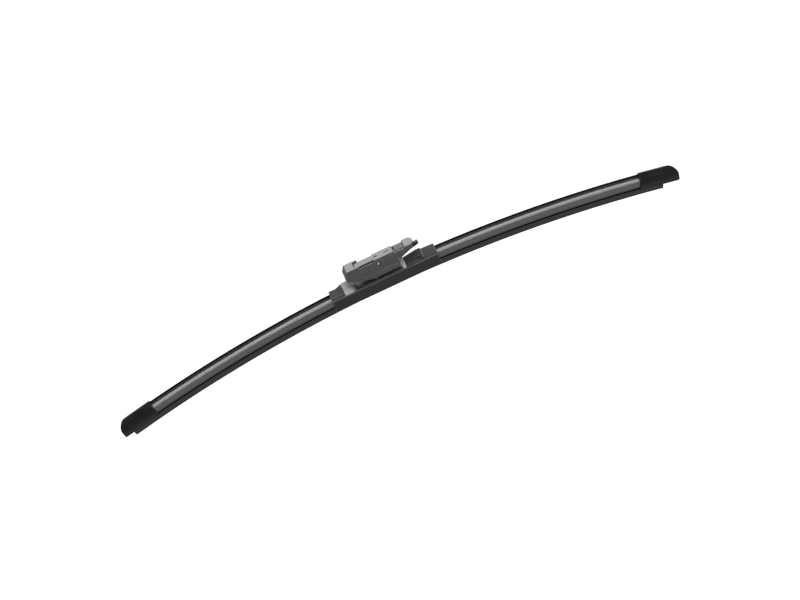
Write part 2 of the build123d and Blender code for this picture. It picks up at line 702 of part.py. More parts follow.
def adapter_body() -> Part:
    """The clip that the arm slides over: two walls, a bow block, a nose and a bridge between them."""
    body = prism(adapter_side(), FLARED_HALF) & prism(adapter_plan(), BEYOND)
    for side in (-1, 1):
        body -= side_recess(side)
        body -= wall_bevel(side)
    body = fillet(top_edges(body, BLOCK_TOP), BLOCK_ROUND)
    body = chamfer(top_edges(body, PLATE_TOP), NOSE_CHAMFER)
    body -= prism(adapter_cavity(), CAVITY_HALF)
    notch_left = TONGUE_LEFT - TONGUE_GAP
    body -= block(notch_left, 0, TONGUE_HALF + TONGUE_GAP / 2, LEDGE_TOP, BEYOND)
    bridge = (BRIDGE_X - BRIDGE_THICKNESS / 2, BRIDGE_X + BRIDGE_THICKNESS / 2)
    body += block(*bridge, CAVITY_HALF, BRIDGE_FOOT, LEDGE_TOP)
    slot_half = LEAF_THICKNESS / 2 + RUN_GAP
    body -= block(*bridge, LEAF_HALF + RUN_GAP, LEAF_ROOT_Z - slot_half, LEAF_ROOT_Z + slot_half)
    body -= crosswise(PIN_RADIUS + RUN_GAP, BEYOND)
    body -= crosswise(DIMPLE_RADIUS, FLARED_HALF) - crosswise(DIMPLE_RADIUS, ADAPTER_HALF - DIMPLE_DEPTH)
    socket_half = CAVITY_HALF + TRUNNION_DEPTH
    return body - crosswise(TRUNNION_RADIUS + RUN_GAP, socket_half, TRUNNION_X, TRUNNION_Z)


def adapter_plate() -> Part:
    """The plate on the walls' ledges, with its narrower tongue and two legs between the walls."""
    plate = block(TONGUE_RIGHT, PLATE_RIGHT, PLATE_HALF, LEDGE_TOP, PLATE_TOP)
    plate += block(TONGUE_LEFT, TONGUE_RIGHT, TONGUE_HALF, LEDGE_TOP, PLATE_TOP)
    thick = 4 * (PLATE_TOP - LEDGE_TOP)
    plate -= Pos(0, 0, PLATE_TOP) * Box(PLATE_HOLE_LENGTH, PLATE_HOLE_WIDTH, thick)
    plate -= Pos(PLATE_SLOT_X, 0, PLATE_TOP) * Box(PLATE_SLOT_LENGTH, PLATE_SLOT_WIDTH, thick / 4)
    leg_right = BRIDGE_X - BRIDGE_THICKNESS / 2 - FIT_GAP
    leg_outer = CAVITY_HALF - FIT_GAP
    leg = Box(LEG_LENGTH, LEG_THICKNESS, LEG_DROP)
    for side in (-1, 1):
        leg_y = side * (leg_outer - LEG_THICKNESS / 2)
        plate += Pos(leg_right - LEG_LENGTH / 2, leg_y, LEDGE_TOP - LEG_DROP / 2) * leg
    return plate


def lever_side() -> Sketch:
    """The lever's arm from the side: level under the button, down under the nose and up to the tail."""
    bend_x = NOSE_LEFT + LEVER_THICKNESS
    points = [
        (TRUNNION_X, LEVER_FOOT),
        (bend_x - LEVER_THICKNESS, LEVER_FOOT),
        (TAIL_KNEE_X, TAIL_KNEE_Z),
        (TAIL_TIP_X, TAIL_TIP_Z),
        (TAIL_TIP_X, TAIL_TIP_Z + TAIL_THICKNESS),
        (TAIL_KNEE_X, TAIL_KNEE_Z + TAIL_THICKNESS),
        (bend_x, LEVER_TOP),
        (TRUNNION_X, LEVER_TOP),
    ]
    tip_top = (TAIL_TIP_X, TAIL_TIP_Z + TAIL_THICKNESS)
    tip_foot = (TAIL_TIP_X, TAIL_TIP_Z)
    return polygon(Plane.XZ, points, {tip_top: TAIL_ROUND, tip_foot: TAIL_ROUND})


def locking_lever() -> Part:
    """The pressed lever: trunnions, button and a narrow tail."""
    lever = prism(lever_side(), TAIL_HALF)
    lever += block(TRUNNION_X, NOSE_LEFT, LEVER_HALF, LEVER_FOOT, LEVER_TOP)
    lever += block(BUTTON_LEFT, BUTTON_RIGHT, LEVER_HALF, LEVER_FOOT, BUTTON_TOP)
    lever += crosswise(LEVER_BOSS, LEVER_HALF, TRUNNION_X, TRUNNION_Z)
    trunnion_half = CAVITY_HALF + TRUNNION_DEPTH - FIT_GAP
    return lever + crosswise(TRUNNION_RADIUS, trunnion_half, TRUNNION_X, TRUNNION_Z)


def lever_spring() -> Part:
    """A leaf spring: its root in the bridge, its tip under the button."""
    half = LEAF_THICKNESS / 2
    root_left = BRIDGE_X - BRIDGE_THICKNESS
    root_right = BRIDGE_X + BRIDGE_THICKNESS
    tip_z = LEVER_FOOT - RUN_GAP - half
    low = [(root_left, LEAF_ROOT_Z - half), (root_right, LEAF_ROOT_Z - half), (LEAF_TIP_X, tip_z - half)]
    high = [(x, z + LEAF_THICKNESS) for x, z in reversed(low)]
    return prism(polygon(Plane.XZ, low + high), LEAF_HALF)


def end_caps() -> dict:
    """Both caps, turned to the blade's tips."""
    right = end_cap(RUBBER_SETBACK_RIGHT).rotate(ARC_AXIS, cap_turn(RIGHT_TIP))
    left = end_cap(RUBBER_SETBACK_LEFT).rotate(ARC_AXIS, cap_turn(LEFT_TIP))
    return {"end_cap_left": mirror(left, about=Plane.YZ), "end_cap_right": right}


def main() -> None:
    """Build every piece and write it to its own file."""
    pieces = {
        "wiper_rubber": wiper_rubber(),
        "spring_rail_front": spring_rail(-1),
        "spring_rail_rear": spring_rail(1),
        "spoiler_left": spoiler(-1),
        "spoiler_right": spoiler(1),
        **end_caps(),
        "base_cover": base_cover(),
        "base_carrier": base_carrier(),
        "hinge_pin": hinge_pin(),
        "adapter_body": adapter_body(),
        "adapter_plate": adapter_plate(),
        "locking_lever": locking_lever(),
        "lever_spring": lever_spring(),
    }
    os.makedirs("parts", exist_ok=True)
    for name, piece in pieces.items():
        export_step(piece, f"parts/{name}.step")


if __name__ == "__main__":
    main()
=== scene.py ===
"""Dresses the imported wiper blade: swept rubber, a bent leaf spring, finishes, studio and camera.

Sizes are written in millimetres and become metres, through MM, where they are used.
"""

from __future__ import annotations

import json
import logging
import math
from dataclasses import dataclass, field
from enum import Enum
from typing import Any, Iterable

import bmesh
import bpy
from mathutils import Matrix, Vector

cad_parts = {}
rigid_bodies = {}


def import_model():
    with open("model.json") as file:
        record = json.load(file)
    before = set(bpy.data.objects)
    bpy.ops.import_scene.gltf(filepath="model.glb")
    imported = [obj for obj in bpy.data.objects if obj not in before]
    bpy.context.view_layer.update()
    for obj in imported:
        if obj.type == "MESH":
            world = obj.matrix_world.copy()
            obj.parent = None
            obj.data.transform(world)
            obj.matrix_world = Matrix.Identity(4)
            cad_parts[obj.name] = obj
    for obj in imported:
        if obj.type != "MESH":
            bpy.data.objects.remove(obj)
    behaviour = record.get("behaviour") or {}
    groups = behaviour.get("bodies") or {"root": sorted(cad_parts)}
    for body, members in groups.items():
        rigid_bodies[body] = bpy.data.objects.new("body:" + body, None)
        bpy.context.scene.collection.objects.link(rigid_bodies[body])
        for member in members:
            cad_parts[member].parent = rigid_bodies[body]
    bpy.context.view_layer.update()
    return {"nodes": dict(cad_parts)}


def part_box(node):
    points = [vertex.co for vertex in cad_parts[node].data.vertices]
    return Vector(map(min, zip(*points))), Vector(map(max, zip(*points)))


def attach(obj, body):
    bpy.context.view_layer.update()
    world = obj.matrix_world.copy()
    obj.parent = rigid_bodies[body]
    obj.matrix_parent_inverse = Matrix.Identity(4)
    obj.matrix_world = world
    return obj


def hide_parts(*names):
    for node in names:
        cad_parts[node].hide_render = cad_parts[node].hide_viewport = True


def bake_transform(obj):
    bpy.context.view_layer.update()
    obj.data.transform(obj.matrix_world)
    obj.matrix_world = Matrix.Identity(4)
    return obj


LOG = logging.getLogger("wiper_blade")
MM = 0.001
SHARP_ANGLE = math.radians(30.0)
NOISE_MEAN = 0.5
WHITE = (1.0, 1.0, 1.0, 1.0)

Colour = tuple[float, float, float]
Pitch = tuple[float, float, float]
Band = tuple[float, float]


class Body(Enum):
    """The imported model's moving bodies."""

    ADAPTER = "adapter"
    BLADE = "blade"
    LEVER = "lever"


class Weave(Enum):
    """Where a finish reads its pattern from."""

    PLACE = "object"
    UNBENT = "unbent"


class Term:
    """A node's output that can stand in a Python expression."""

    def __init__(self, graph: Graph, socket: bpy.types.NodeSocket) -> None:
        """Keep the socket and the graph that it belongs to."""
        self.graph = graph
        self.socket = socket

    def __add__(self, other: Operand) -> Term:
        """This plus another value."""
        return self.graph.math("ADD", self, other)

    def __radd__(self, other: Operand) -> Term:
        """Another value plus this."""
        return self.graph.math("ADD", other, self)

    def __sub__(self, other: Operand) -> Term:
        """This less another value."""
        return self.graph.math("SUBTRACT", self, other)

    def __rsub__(self, other: Operand) -> Term:
        """Another value less this."""
        return self.graph.math("SUBTRACT", other, self)

    def __mul__(self, other: Operand) -> Term:
        """This times another value."""
        return self.graph.math("MULTIPLY", self, other)

    def __rmul__(self, other: Operand) -> Term:
        """Another value times this."""
        return self.graph.math("MULTIPLY", other, self)

    def __truediv__(self, other: Operand) -> Term:
        """This over another value."""
        return self.graph.math("DIVIDE", self, other)

    def __rtruediv__(self, other: Operand) -> Term:
        """Another value over this."""
        return self.graph.math("DIVIDE", other, self)

    def __pow__(self, other: Operand) -> Term:
        """This to a power."""
        return self.graph.math("POWER", self, other)

    def __rpow__(self, other: Operand) -> Term:
        """Another value to the power of this."""
        return self.graph.math("POWER", other, self)

    def rise(self, low: float, high: float) -> Term:
        """A smooth step from 0 at low to 1 at high."""
        settings = {"interpolation_type": "SMOOTHSTEP"}
        inputs = {"Value": self, "From Min": low, "From Max": high}
        return self.graph.out(self.graph.node("ShaderNodeMapRange", settings, inputs))


Operand = Term | float


class Graph:
    """Adds nodes to a shader or geometry tree."""

    def __init__(self, tree: bpy.types.NodeTree) -> None:
        """Start from an empty tree."""
        self.tree = tree
        tree.nodes.clear()

    @staticmethod
    def find(sockets: Iterable[bpy.types.NodeSocket], key: str) -> bpy.types.NodeSocket:
        """The socket with an identifier, or failing that with a name.

        Args:
            sockets: a node's inputs or outputs.
            key: identifier or name.
        Returns:
            The socket.
        """
        every = list(sockets)
        named = [socket for socket in every if socket.identifier == key]
        named += [socket for socket in every if socket.name == key]
        return named[0]

    def node(
        self,
        kind: str,
        settings: dict[str, Any] | None = None,
        inputs: dict[str, Any] | None = None,
    ) -> bpy.types.Node:
        """Add one node of any type.

        Args:
            kind: the node's type.
            settings: properties, such as a Math node's operation, set first.
            inputs: values or terms, by socket identifier or name.
        Returns:
            The node.
        """
        made = self.tree.nodes.new(kind)
        for name, value in (settings or {}).items():
            setattr(made, name, value)
        for key, value in (inputs or {}).items():
            socket = self.find(made.inputs, key)
            if isinstance(value, Term):
                self.tree.links.new(value.socket, socket)
            else:
                socket.default_value = value
        return made

    def out(self, node: bpy.types.Node, key: str | None = None) -> Term:
        """A node's output: the one with a key, or else the first.

        Args:
            node: the node.
            key: the output's identifier or name.
        Returns:
            The output as a term.
        """
        return Term(self, self.find(node.outputs, key) if key else node.outputs[0])

    def math(self, operation: str, first: Operand, second: Operand = 0.0) -> Term:
        """One Math node.

        Args:
            operation: the node's operation.
            first: its first value.
            second: its second value.
        Returns:
            The result.
        """
        inputs = {"Value": first, "Value_001": second}
        return self.out(self.node("ShaderNodeMath", {"operation": operation}, inputs))

    def split(self, vector: Term) -> tuple[Term, Term, Term]:
        """A vector's three parts."""
        parts = self.node("ShaderNodeSeparateXYZ", None, {"Vector": vector})
        return self.out(parts, "X"), self.out(parts, "Y"), self.out(parts, "Z")

    def blend(self, share: Operand, low: Colour | Term, high: Colour | Term) -> Term:
        """A colour between two.

        Args:
            share: 0 for the first colour, 1 for the second.
            low: the first colour.
            high: the second colour.
        Returns:
            The colour.
        """
        first, second = (shade if isinstance(shade, Term) else (*shade, 1.0) for shade in (low, high))
        inputs = {"Factor_Float": share, "A_Color": first, "B_Color": second}
        node = self.node("ShaderNodeMix", {"data_type": "RGBA"}, inputs)
        return self.out(node, "Result_Color")

    def dim(self, colour: Term, share: Operand) -> Term:
        """A colour with a share of its brightness."""
        inputs = {"Vector": colour, "Scale": share}
        return self.out(self.node("ShaderNodeVectorMath", {"operation": "SCALE"}, inputs))

    def stretch(self, place: Term, pitch: Pitch) -> Term:
        """A place measured in a pattern's own pitches.

        Args:
            place: the place, in metres.
            pitch: the pattern's pitch along each axis, in millimetres.
        Returns:
            The place to give to a texture of scale 1.
        """
        scale = tuple(1.0 / (MM * size) for size in pitch)
        inputs = {"Vector": place, "Vector_001": scale}
        return self.out(self.node("ShaderNodeVectorMath", {"operation": "MULTIPLY"}, inputs))

    def noise(self, place: Term, pitch: Pitch, detail: float = 2.0) -> Term:
        """Soft noise of a pitch in millimetres.

        Args:
            place: the place, in metres.
            pitch: the size of the noise's lumps along each axis.
            detail: how many finer layers it has.
        Returns:
            A value about 0.5.
        """
        inputs = {"Vector": self.stretch(place, pitch), "Scale": 1.0, "Detail": detail}
        return self.out(self.node("ShaderNodeTexNoise", {"noise_dimensions": "3D"}, inputs), "Fac")


@dataclass(frozen=True)
class Finish:
    """What the finishes share.

    Attributes:
        slot: the record's material slot.
        dark: the colour in the hollows of the pattern.
        light: the colour on its crests.
        roughness: the mean roughness.
        specular: the reflection's level, constant over the surface.
        weave: where the pattern is read from.
    """

    slot: str
    dark: Colour
    light: Colour
    roughness: float
    specular: float
    weave: Weave = Weave.PLACE

    METALLIC = 0.0
    OPENNESS_SAMPLES = 8
    OPENNESS_BAND = (0.2, 0.8)

    def material(self) -> bpy.types.Material:
        """Make the material.

        Returns:
            The material, named for its slot.
        """
        made = bpy.data.materials.new(f"{self.slot}_finish")
        made.use_nodes = True
        graph = Graph(made.node_tree)
        surface = self.paint(graph, self._place(graph))
        graph.node("ShaderNodeOutputMaterial", None, {"Surface": graph.out(surface)})
        made.diffuse_color = (*self.light, 1.0)
        return made

    def _place(self, graph: Graph) -> Term:
        """The coordinates that the pattern follows.

        Args:
            graph: the material's graph.
        Returns:
            A place in metres.
        """
        if self.weave is Weave.UNBENT:
            settings = {"attribute_type": "GEOMETRY", "attribute_name": Weave.UNBENT.value}
            return graph.out(graph.node("ShaderNodeAttribute", settings), "Vector")
        return graph.out(graph.node("ShaderNodeTexCoord"), "Object")

    def paint(self, graph: Graph, place: Term) -> bpy.types.Node:
        """Build the surface; each finish has its own.

        Args:
            graph: the material's graph.
            place: the coordinates to use.
        Returns:
            The shader's node.
        """
        raise NotImplementedError

    def surface(
        self, graph: Graph, colour: Term, roughness: Term, normal: Term, **more: Operand
    ) -> bpy.types.Node:
        """The shader with this finish's constants.

        Args:
            graph: the material's graph.
            colour: the base colour.
            roughness: the roughness.
            normal: the bumped normal.
            more: other inputs, with an underscore for each space.
        Returns:
            The shader's node.
        """
        inputs = {
            "Base Color": colour,
            "Roughness": roughness,
            "Normal": normal,
            "Specular IOR Level": self.specular,
            "Metallic": self.METALLIC,
            **{name.replace("_", " "): value for name, value in more.items()},
        }
        return graph.node("ShaderNodeBsdfPrincipled", None, inputs)

    @staticmethod
    def sunk(graph: Graph, reach: float) -> Term:
        """How deep in a recess a place is.

        Args:
            graph: the material's graph.
            reach: how near a facing wall counts, in millimetres.
        Returns:
            0 in the open, 1 at the bottom of a narrow recess.
        """
        settings = {"samples": Finish.OPENNESS_SAMPLES}
        openness = graph.node("ShaderNodeAmbientOcclusion", settings, {"Distance": reach * MM})
        # this mask drives the painted shade in recesses
        return 1.0 - graph.out(openness, "AO").rise(*Finish.OPENNESS_BAND)

    @staticmethod
    def bump(
        graph: Graph, height: Term, strength: float, depth: float, normal: Term | None = None
    ) -> Term:
        """A bumped normal.

        Args:
            graph: the material's graph.
            height: the height, from 0 to 1.
            strength: how much of it is used.
            depth: the height of 1, in millimetres.
            normal: the normal to start from.
        Returns:
            The normal.
        """
        inputs: dict[str, Any] = {"Strength": strength, "Distance": depth * MM, "Height": height}
        if normal is not None:
            inputs["Normal"] = normal
        return graph.out(graph.node("ShaderNodeBump", None, inputs))


@dataclass(frozen=True, kw_only=True)
class ExtrudedRubber(Finish):
    """Rubber with the fine lines that the die leaves along it, a patchy bloom and a slip coat; high up and in
    recesses the coat is left off and the colour darkened as painted shade.

    Attributes:
        line_pitch: the lines' pitch across the extrusion, in millimetres.
        line_run: how far a line keeps its shape, in millimetres.
        bloom: how much the bloom dulls the surface.
        relief: how strongly the lines stand out.
        coat_ior: the slip coat's index of refraction.
        bare_shade_band: the heights between which the coat ends and the painted shade comes in, in
            millimetres.
        recess: how near a facing wall keeps the coat off and paints shade, in millimetres.
        painted_shade_tone: the brightness of the painted shade on the bare rubber, as a share of the coated
            rubber's.
    """

    line_pitch: float = 0.22
    line_run: float = 45.0
    bloom: float = 0.1
    relief: float = 0.08
    coat_ior: float
    # by default the top of the fin, above 5 mm, is painted dark as shade, with its coat left off
    bare_shade_band: Band = (4.4, 5.0)
    recess: float = 3.5
    painted_shade_tone: float = 0.15

    PATCH_PITCH = (28.0, 9.0, 9.0)
    GRAIN_PITCH = (0.12, 0.12, 0.12)
    BLOOM_BAND = (0.52, 0.72)
    LINE_TINT = 0.45
    PATCH_TINT = 0.4
    BLOOM_TINT = 0.25
    LINE_ROUGHNESS = 0.12
    BARE_ROUGHNESS = 0.3
    LINE_HEIGHT = 0.8
    LINE_DEPTH = 0.03

    def paint(self, graph: Graph, place: Term) -> bpy.types.Node:
        """Lines, bloom and a fine grain over the base colour, and the coat where it reaches; painted shade
        darkens the rest.

        Args:
            graph: the material's graph.
            place: the coordinates to use.
        Returns:
            The shader's node.
        """
        lines = graph.noise(place, (self.line_run, self.line_pitch, self.line_pitch), detail=1.0)
        patches = graph.noise(place, self.PATCH_PITCH, detail=3.0)
        grain = graph.noise(place, self.GRAIN_PITCH, detail=1.0)
        bloom = patches.rise(*self.BLOOM_BAND)
        # painted shade: high up and near a wall the colour darkens and the coat is left off
        high = graph.split(place)[2].rise(*(MM * edge for edge in self.bare_shade_band))
        bare_and_shaded = graph.math("MAXIMUM", high, self.sunk(graph, self.recess))
        tint = lines * self.LINE_TINT + patches * self.PATCH_TINT + bloom * self.BLOOM_TINT
        colour = graph.blend(tint, self.dark, self.light)
        dulled = bloom * self.bloom + bare_and_shaded * self.BARE_ROUGHNESS
        roughness = self.roughness + (lines - NOISE_MEAN) * self.LINE_ROUGHNESS + dulled
        height = lines * self.LINE_HEIGHT + grain * (1.0 - self.LINE_HEIGHT)
        normal = self.bump(graph, height, self.relief, self.LINE_DEPTH)
        return self.surface(
            graph,
            graph.dim(colour, 1.0 - bare_and_shaded * (1.0 - self.painted_shade_tone)),
            roughness,
            normal,
            Coat_Weight=1.0 - bare_and_shaded,
            Coat_Roughness=self.roughness,
            Coat_IOR=self.coat_ior,
        )


@dataclass(frozen=True)
class GrainedMoulding(Finish):
    """Plastic with a spark-eroded grain, rubbed smoother along its edges, and paler there, partly as wear and
    partly as a painted highlight.

    Attributes:
        grain: the grain's pitch, in millimetres.
        relief: how strongly the grain stands out.
        edge: how far the edge mask, for rubbing and the painted highlight, reaches from an edge, in
            millimetres.
        edge_shine: how much smoother an edge is.
        edge_highlight_and_wear: how much paler an edge is, as a share of the colour, partly wear and partly a
            painted highlight.
        edge_turn: how sharp an edge has to be for the mask to be full, as 1 less the cosine of half its turn.
        recess: how near a facing wall darkens the surface as painted shade, in millimetres.
        painted_shade: how much darker the bottom of a recess is painted, as painted shade.
    """

    grain: float = 0.28
    relief: float = 0.3
    edge: float = 0.35
    edge_shine: float = 0.12
    edge_highlight_and_wear: float = 0.4
    edge_turn: float = 0.2
    recess: float = 5.0
    painted_shade: float = 0.6

    CLOUD_PITCH = (14.0, 7.0, 7.0)
    CLOUD_TINT = 0.75
    CLOUD_ROUGHNESS = 0.14
    FINE_ROUGHNESS = 0.1
    FINE_SHARE = 0.45
    CELL_SOFTNESS = 0.6
    PIT_HEIGHT = 0.6
    PIT_DEPTH = 0.04
    RUBBED_FLAT = 0.7
    EDGE_SAMPLES = 6
    EDGE_START = 0.01

    def paint(self, graph: Graph, place: Term) -> bpy.types.Node:
        """Grain, cloudy flow, and edges that are rubbed and given a painted highlight, over the base colour.

        Args:
            graph: the material's graph.
            place: the coordinates to use.
        Returns:
            The shader's node.
        """
        cells = graph.node(
            "ShaderNodeTexVoronoi",
            {"feature": "SMOOTH_F1"},
            {
                "Vector": graph.stretch(place, (self.grain,) * 3),
                "Scale": 1.0,
                "Smoothness": self.CELL_SOFTNESS,
            },
        )
        pits = graph.out(cells, "Distance")
        fine = graph.noise(place, (self.grain * self.FINE_SHARE,) * 3, detail=1.0)
        soft, rubbed_and_lit = self.edges(graph)
        colour, roughness = self.skin(graph, place, pits, fine, rubbed_and_lit)
        height = pits * self.PIT_HEIGHT + fine * (1.0 - self.PIT_HEIGHT)
        height = height * (1.0 - rubbed_and_lit * self.RUBBED_FLAT)
        normal = self.bump(graph, height, self.relief, self.PIT_DEPTH, soft)
        return self.surface(graph, colour, roughness, normal)

    def skin(
        self, graph: Graph, place: Term, specks: Term, fine: Term, rubbed_and_lit: Term
    ) -> tuple[Term, Term]:
        """Cloudy flow, specks, and edges that are rubbed and given a painted highlight, over the base colour
        and roughness.

        Args:
            graph: the material's graph.
            place: the coordinates to use.
            specks: the pattern that tints the colour.
            fine: the pattern that varies the roughness.
            rubbed_and_lit: the mask of the edges, for their wear and their painted highlight.
        Returns:
            The colour and the roughness.
        """
        clouds = graph.noise(place, self.CLOUD_PITCH, detail=3.0)
        share = clouds * self.CLOUD_TINT + specks * (1.0 - self.CLOUD_TINT)
        # painted highlight, partly wear: the colour is paler along the edges
        colour = graph.dim(self.tone(graph, place, share), 1.0 + rubbed_and_lit * self.edge_highlight_and_wear)
        uneven = (clouds - NOISE_MEAN) * self.CLOUD_ROUGHNESS + (fine - NOISE_MEAN) * self.FINE_ROUGHNESS
        return colour, self.roughness + uneven - rubbed_and_lit * self.edge_shine

    def tone(self, graph: Graph, place: Term, share: Term) -> Term:
        """The base colour, darkened in the recesses as painted shade.

        Args:
            graph: the material's graph.
            place: the coordinates to use.
            share: the pattern, 0 for the dark colour and 1 for the light one.
        Returns:
            The colour.
        """
        # painted shade: the colour darkens where a wall stands near
        dulled = self.sunk(graph, self.recess) * self.painted_shade
        return graph.dim(graph.blend(share, self.dark, self.light), 1.0 - dulled)

    def edges(self, graph: Graph) -> tuple[Term, Term]:
        """Softened edges.

        Args:
            graph: the material's graph.
        Returns:
            The normal rounded over the edges, and a mask that is 1 at an edge.
        """
        settings = {"samples": self.EDGE_SAMPLES}
        soft = graph.out(graph.node("ShaderNodeBevel", settings, {"Radius": self.edge * MM}))
        true = graph.out(graph.node("ShaderNodeNewGeometry"), "Normal")
        inputs = {"Vector": soft, "Vector_001": true}
        product = graph.node("ShaderNodeVectorMath", {"operation": "DOT_PRODUCT"}, inputs)
        turned = 1.0 - graph.out(product, "Value")
        return soft, turned.rise(self.EDGE_START, self.edge_turn)


@dataclass(frozen=True)
class SatinMoulding(GrainedMoulding):
    """Filled nylon: pale fibres that lie along the flow, a fine satin skin and slightly uneven faces.

    Attributes:
        fibre: a fibre's length and thickness, in millimetres.
        sink: the depth of the faces' unevenness, in millimetres.
    """

    grain: float = 0.1
    fibre: tuple[float, float] = (1.8, 0.16)
    sink: float = 0.03

    CLOUD_PITCH = (9.0, 5.0, 5.0)
    CLOUD_ROUGHNESS = 0.12
    FINE_ROUGHNESS = 0.08
    FIBRE_BAND = (0.5, 0.75)
    SINK_PITCH = (6.0, 4.0, 4.0)
    SINK_RELIEF = 0.25
    SKIN_HEIGHT = 0.7
    SKIN_RELIEF = 0.25
    SKIN_DEPTH = 0.02

    def paint(self, graph: Graph, place: Term) -> bpy.types.Node:
        """Fibres, skin and uneven faces over the base colour.

        Args:
            graph: the material's graph.
            place: the coordinates to use.
        Returns:
            The shader's node.
        """
        length, thickness = self.fibre
        fibres = graph.noise(place, (length, thickness, thickness), detail=1.0).rise(*self.FIBRE_BAND)
        fine = graph.noise(place, (self.grain,) * 3, detail=1.0)
        sinks = graph.noise(place, self.SINK_PITCH, detail=0.0)
        soft, rubbed_and_lit = self.edges(graph)
        colour, roughness = self.skin(graph, place, fibres, fine, rubbed_and_lit)
        uneven = self.bump(graph, sinks, self.SINK_RELIEF, self.sink, soft)
        height = fine * self.SKIN_HEIGHT + fibres * (1.0 - self.SKIN_HEIGHT)
        normal = self.bump(graph, height, self.SKIN_RELIEF, self.SKIN_DEPTH, uneven)
        return self.surface(graph, colour, roughness, normal)


@dataclass(frozen=True, kw_only=True)
class PartedMoulding(SatinMoulding):
    """Filled nylon that turns to a second colour along the blade.

    Attributes:
        second: the second colour.
        start: the places along X between which it comes in, in millimetres.
        stop: the places along X between which it goes out again.
    """

    second: Colour
    start: Band
    stop: Band = (90.0, 91.0)

    def tone(self, graph: Graph, place: Term, share: Term) -> Term:
        """The base colour, or the second one between its limits.

        Args:
            graph: the material's graph.
            place: the coordinates to use.
            share: the pattern, 0 for the dark colour and 1 for the light one.
        Returns:
            The colour.
        """
        along = graph.split(place)[0]
        begun, ended = (along.rise(*(MM * edge for edge in band)) for band in (self.start, self.stop))
        return graph.blend(begun * (1.0 - ended), super().tone(graph, place, share), self.second)


@dataclass(frozen=True)
class RolledSteel(Finish):
    """Spring strip with the rolling lines along it and a faint tempering tint."""

    METALLIC = 1.0
    LINE_PITCH = (30.0, 0.09, 0.3)
    TINT_PITCH = (22.0, 6.0, 6.0)
    TINT_BAND = (0.45, 0.75)
    LINE_TINT = 0.5
    LINE_ROUGHNESS = 0.2
    TINT_ROUGHNESS = 0.06
    LINE_RELIEF = 0.2
    LINE_DEPTH = 0.01

    def paint(self, graph: Graph, place: Term) -> bpy.types.Node:
        """Rolling lines and tint over the steel.

        Args:
            graph: the material's graph.
            place: the coordinates to use.
        Returns:
            The shader's node.
        """
        lines = graph.noise(place, self.LINE_PITCH)
        tempered = graph.noise(place, self.TINT_PITCH).rise(*self.TINT_BAND)
        share = lines * self.LINE_TINT + (1.0 - tempered) * (1.0 - self.LINE_TINT)
        varied = (lines - NOISE_MEAN) * self.LINE_ROUGHNESS + tempered * self.TINT_ROUGHNESS
        normal = self.bump(graph, lines, self.LINE_RELIEF, self.LINE_DEPTH)
        colour = graph.blend(share, self.dark, self.light)
        return self.surface(graph, colour, self.roughness + varied, normal)


@dataclass(frozen=True)
class TurnedSteel(Finish):
    """A turned pin: tool rings about its axis, on its ends and round it, and a painted highlight on the ends,
    a bright upright patch.

    Attributes:
        feed: the tool marks' pitch, in millimetres.
        glint: the half width and half height of the painted highlight, in millimetres.
    """

    feed: float = 0.16
    glint: tuple[float, float] = (0.45, 1.1)

    METALLIC = 1.0
    WEAR_PITCH = (0.8, 0.8, 0.8)
    GLINT_BAND = (0.4, 1.6)
    # the painted highlight's share of the colour
    PATCH_TINT = 0.8
    WEAR_TINT = 0.2
    RING_TINT = 0.1
    WEAR_ROUGHNESS = 0.15
    RING_ROUGHNESS = 0.06
    RING_RELIEF = 0.2
    RING_DEPTH = 0.008

    def paint(self, graph: Graph, place: Term) -> bpy.types.Node:
        """Tool rings, wear and the painted highlight over the steel.

        Args:
            graph: the material's graph.
            place: the coordinates to use.
        Returns:
            The shader's node.
        """
        x, y, z = graph.split(place)
        radius = (x * x + z * z) ** 0.5
        turns = (radius + y) * (2.0 * math.pi / (self.feed * MM))
        rings = graph.math("SINE", turns) * 0.5 + 0.5
        wear = graph.noise(place, self.WEAR_PITCH)
        # painted highlight: a bright upright patch on the pin's ends
        across, upright = (offset / (half * MM) for offset, half in zip((x, z), self.glint))
        glint_share = 1.0 - (across * across + upright * upright).rise(*self.GLINT_BAND)
        share = glint_share * self.PATCH_TINT + wear * self.WEAR_TINT + rings * self.RING_TINT
        colour = graph.blend(share, self.dark, self.light)
        varied = (wear - NOISE_MEAN) * self.WEAR_ROUGHNESS + (rings - 0.5) * self.RING_ROUGHNESS
        normal = self.bump(graph, rings, self.RING_RELIEF, self.RING_DEPTH)
        return self.surface(graph, colour, self.roughness + varied, normal)


SQUEEGEE_RUBBER = ExtrudedRubber(
    "squeegee_rubber",
    dark=(0.016, 0.016, 0.017),
    light=(0.036, 0.036, 0.037),
    roughness=0.58,
    specular=0.08,
    weave=Weave.UNBENT,
    line_pitch=0.3,
    coat_ior=1.43,
    # painted shade: above the wedge's shoulder, under the spoiler's foot, the rubber is darkened and its coat
    # left off
    bare_shade_band=(-5.4, -4.7),
)
SPOILER_RUBBER = ExtrudedRubber(
    "spoiler_rubber",
    dark=(0.018, 0.018, 0.019),
    light=(0.042, 0.042, 0.044),
    roughness=0.3,
    specular=0.08,
    weave=Weave.UNBENT,
    coat_ior=1.76,
)
CAP_PLASTIC = GrainedMoulding(
    "cap_plastic",
    dark=(0.004, 0.004, 0.0043),
    light=(0.01, 0.01, 0.0105),
    roughness=0.2,
    specular=0.24,
    relief=0.06,
    edge=0.5,
    # painted highlight, partly wear: paler edges, so the crease shows as a light line
    edge_highlight_and_wear=3.0,
    edge_turn=0.06,
)
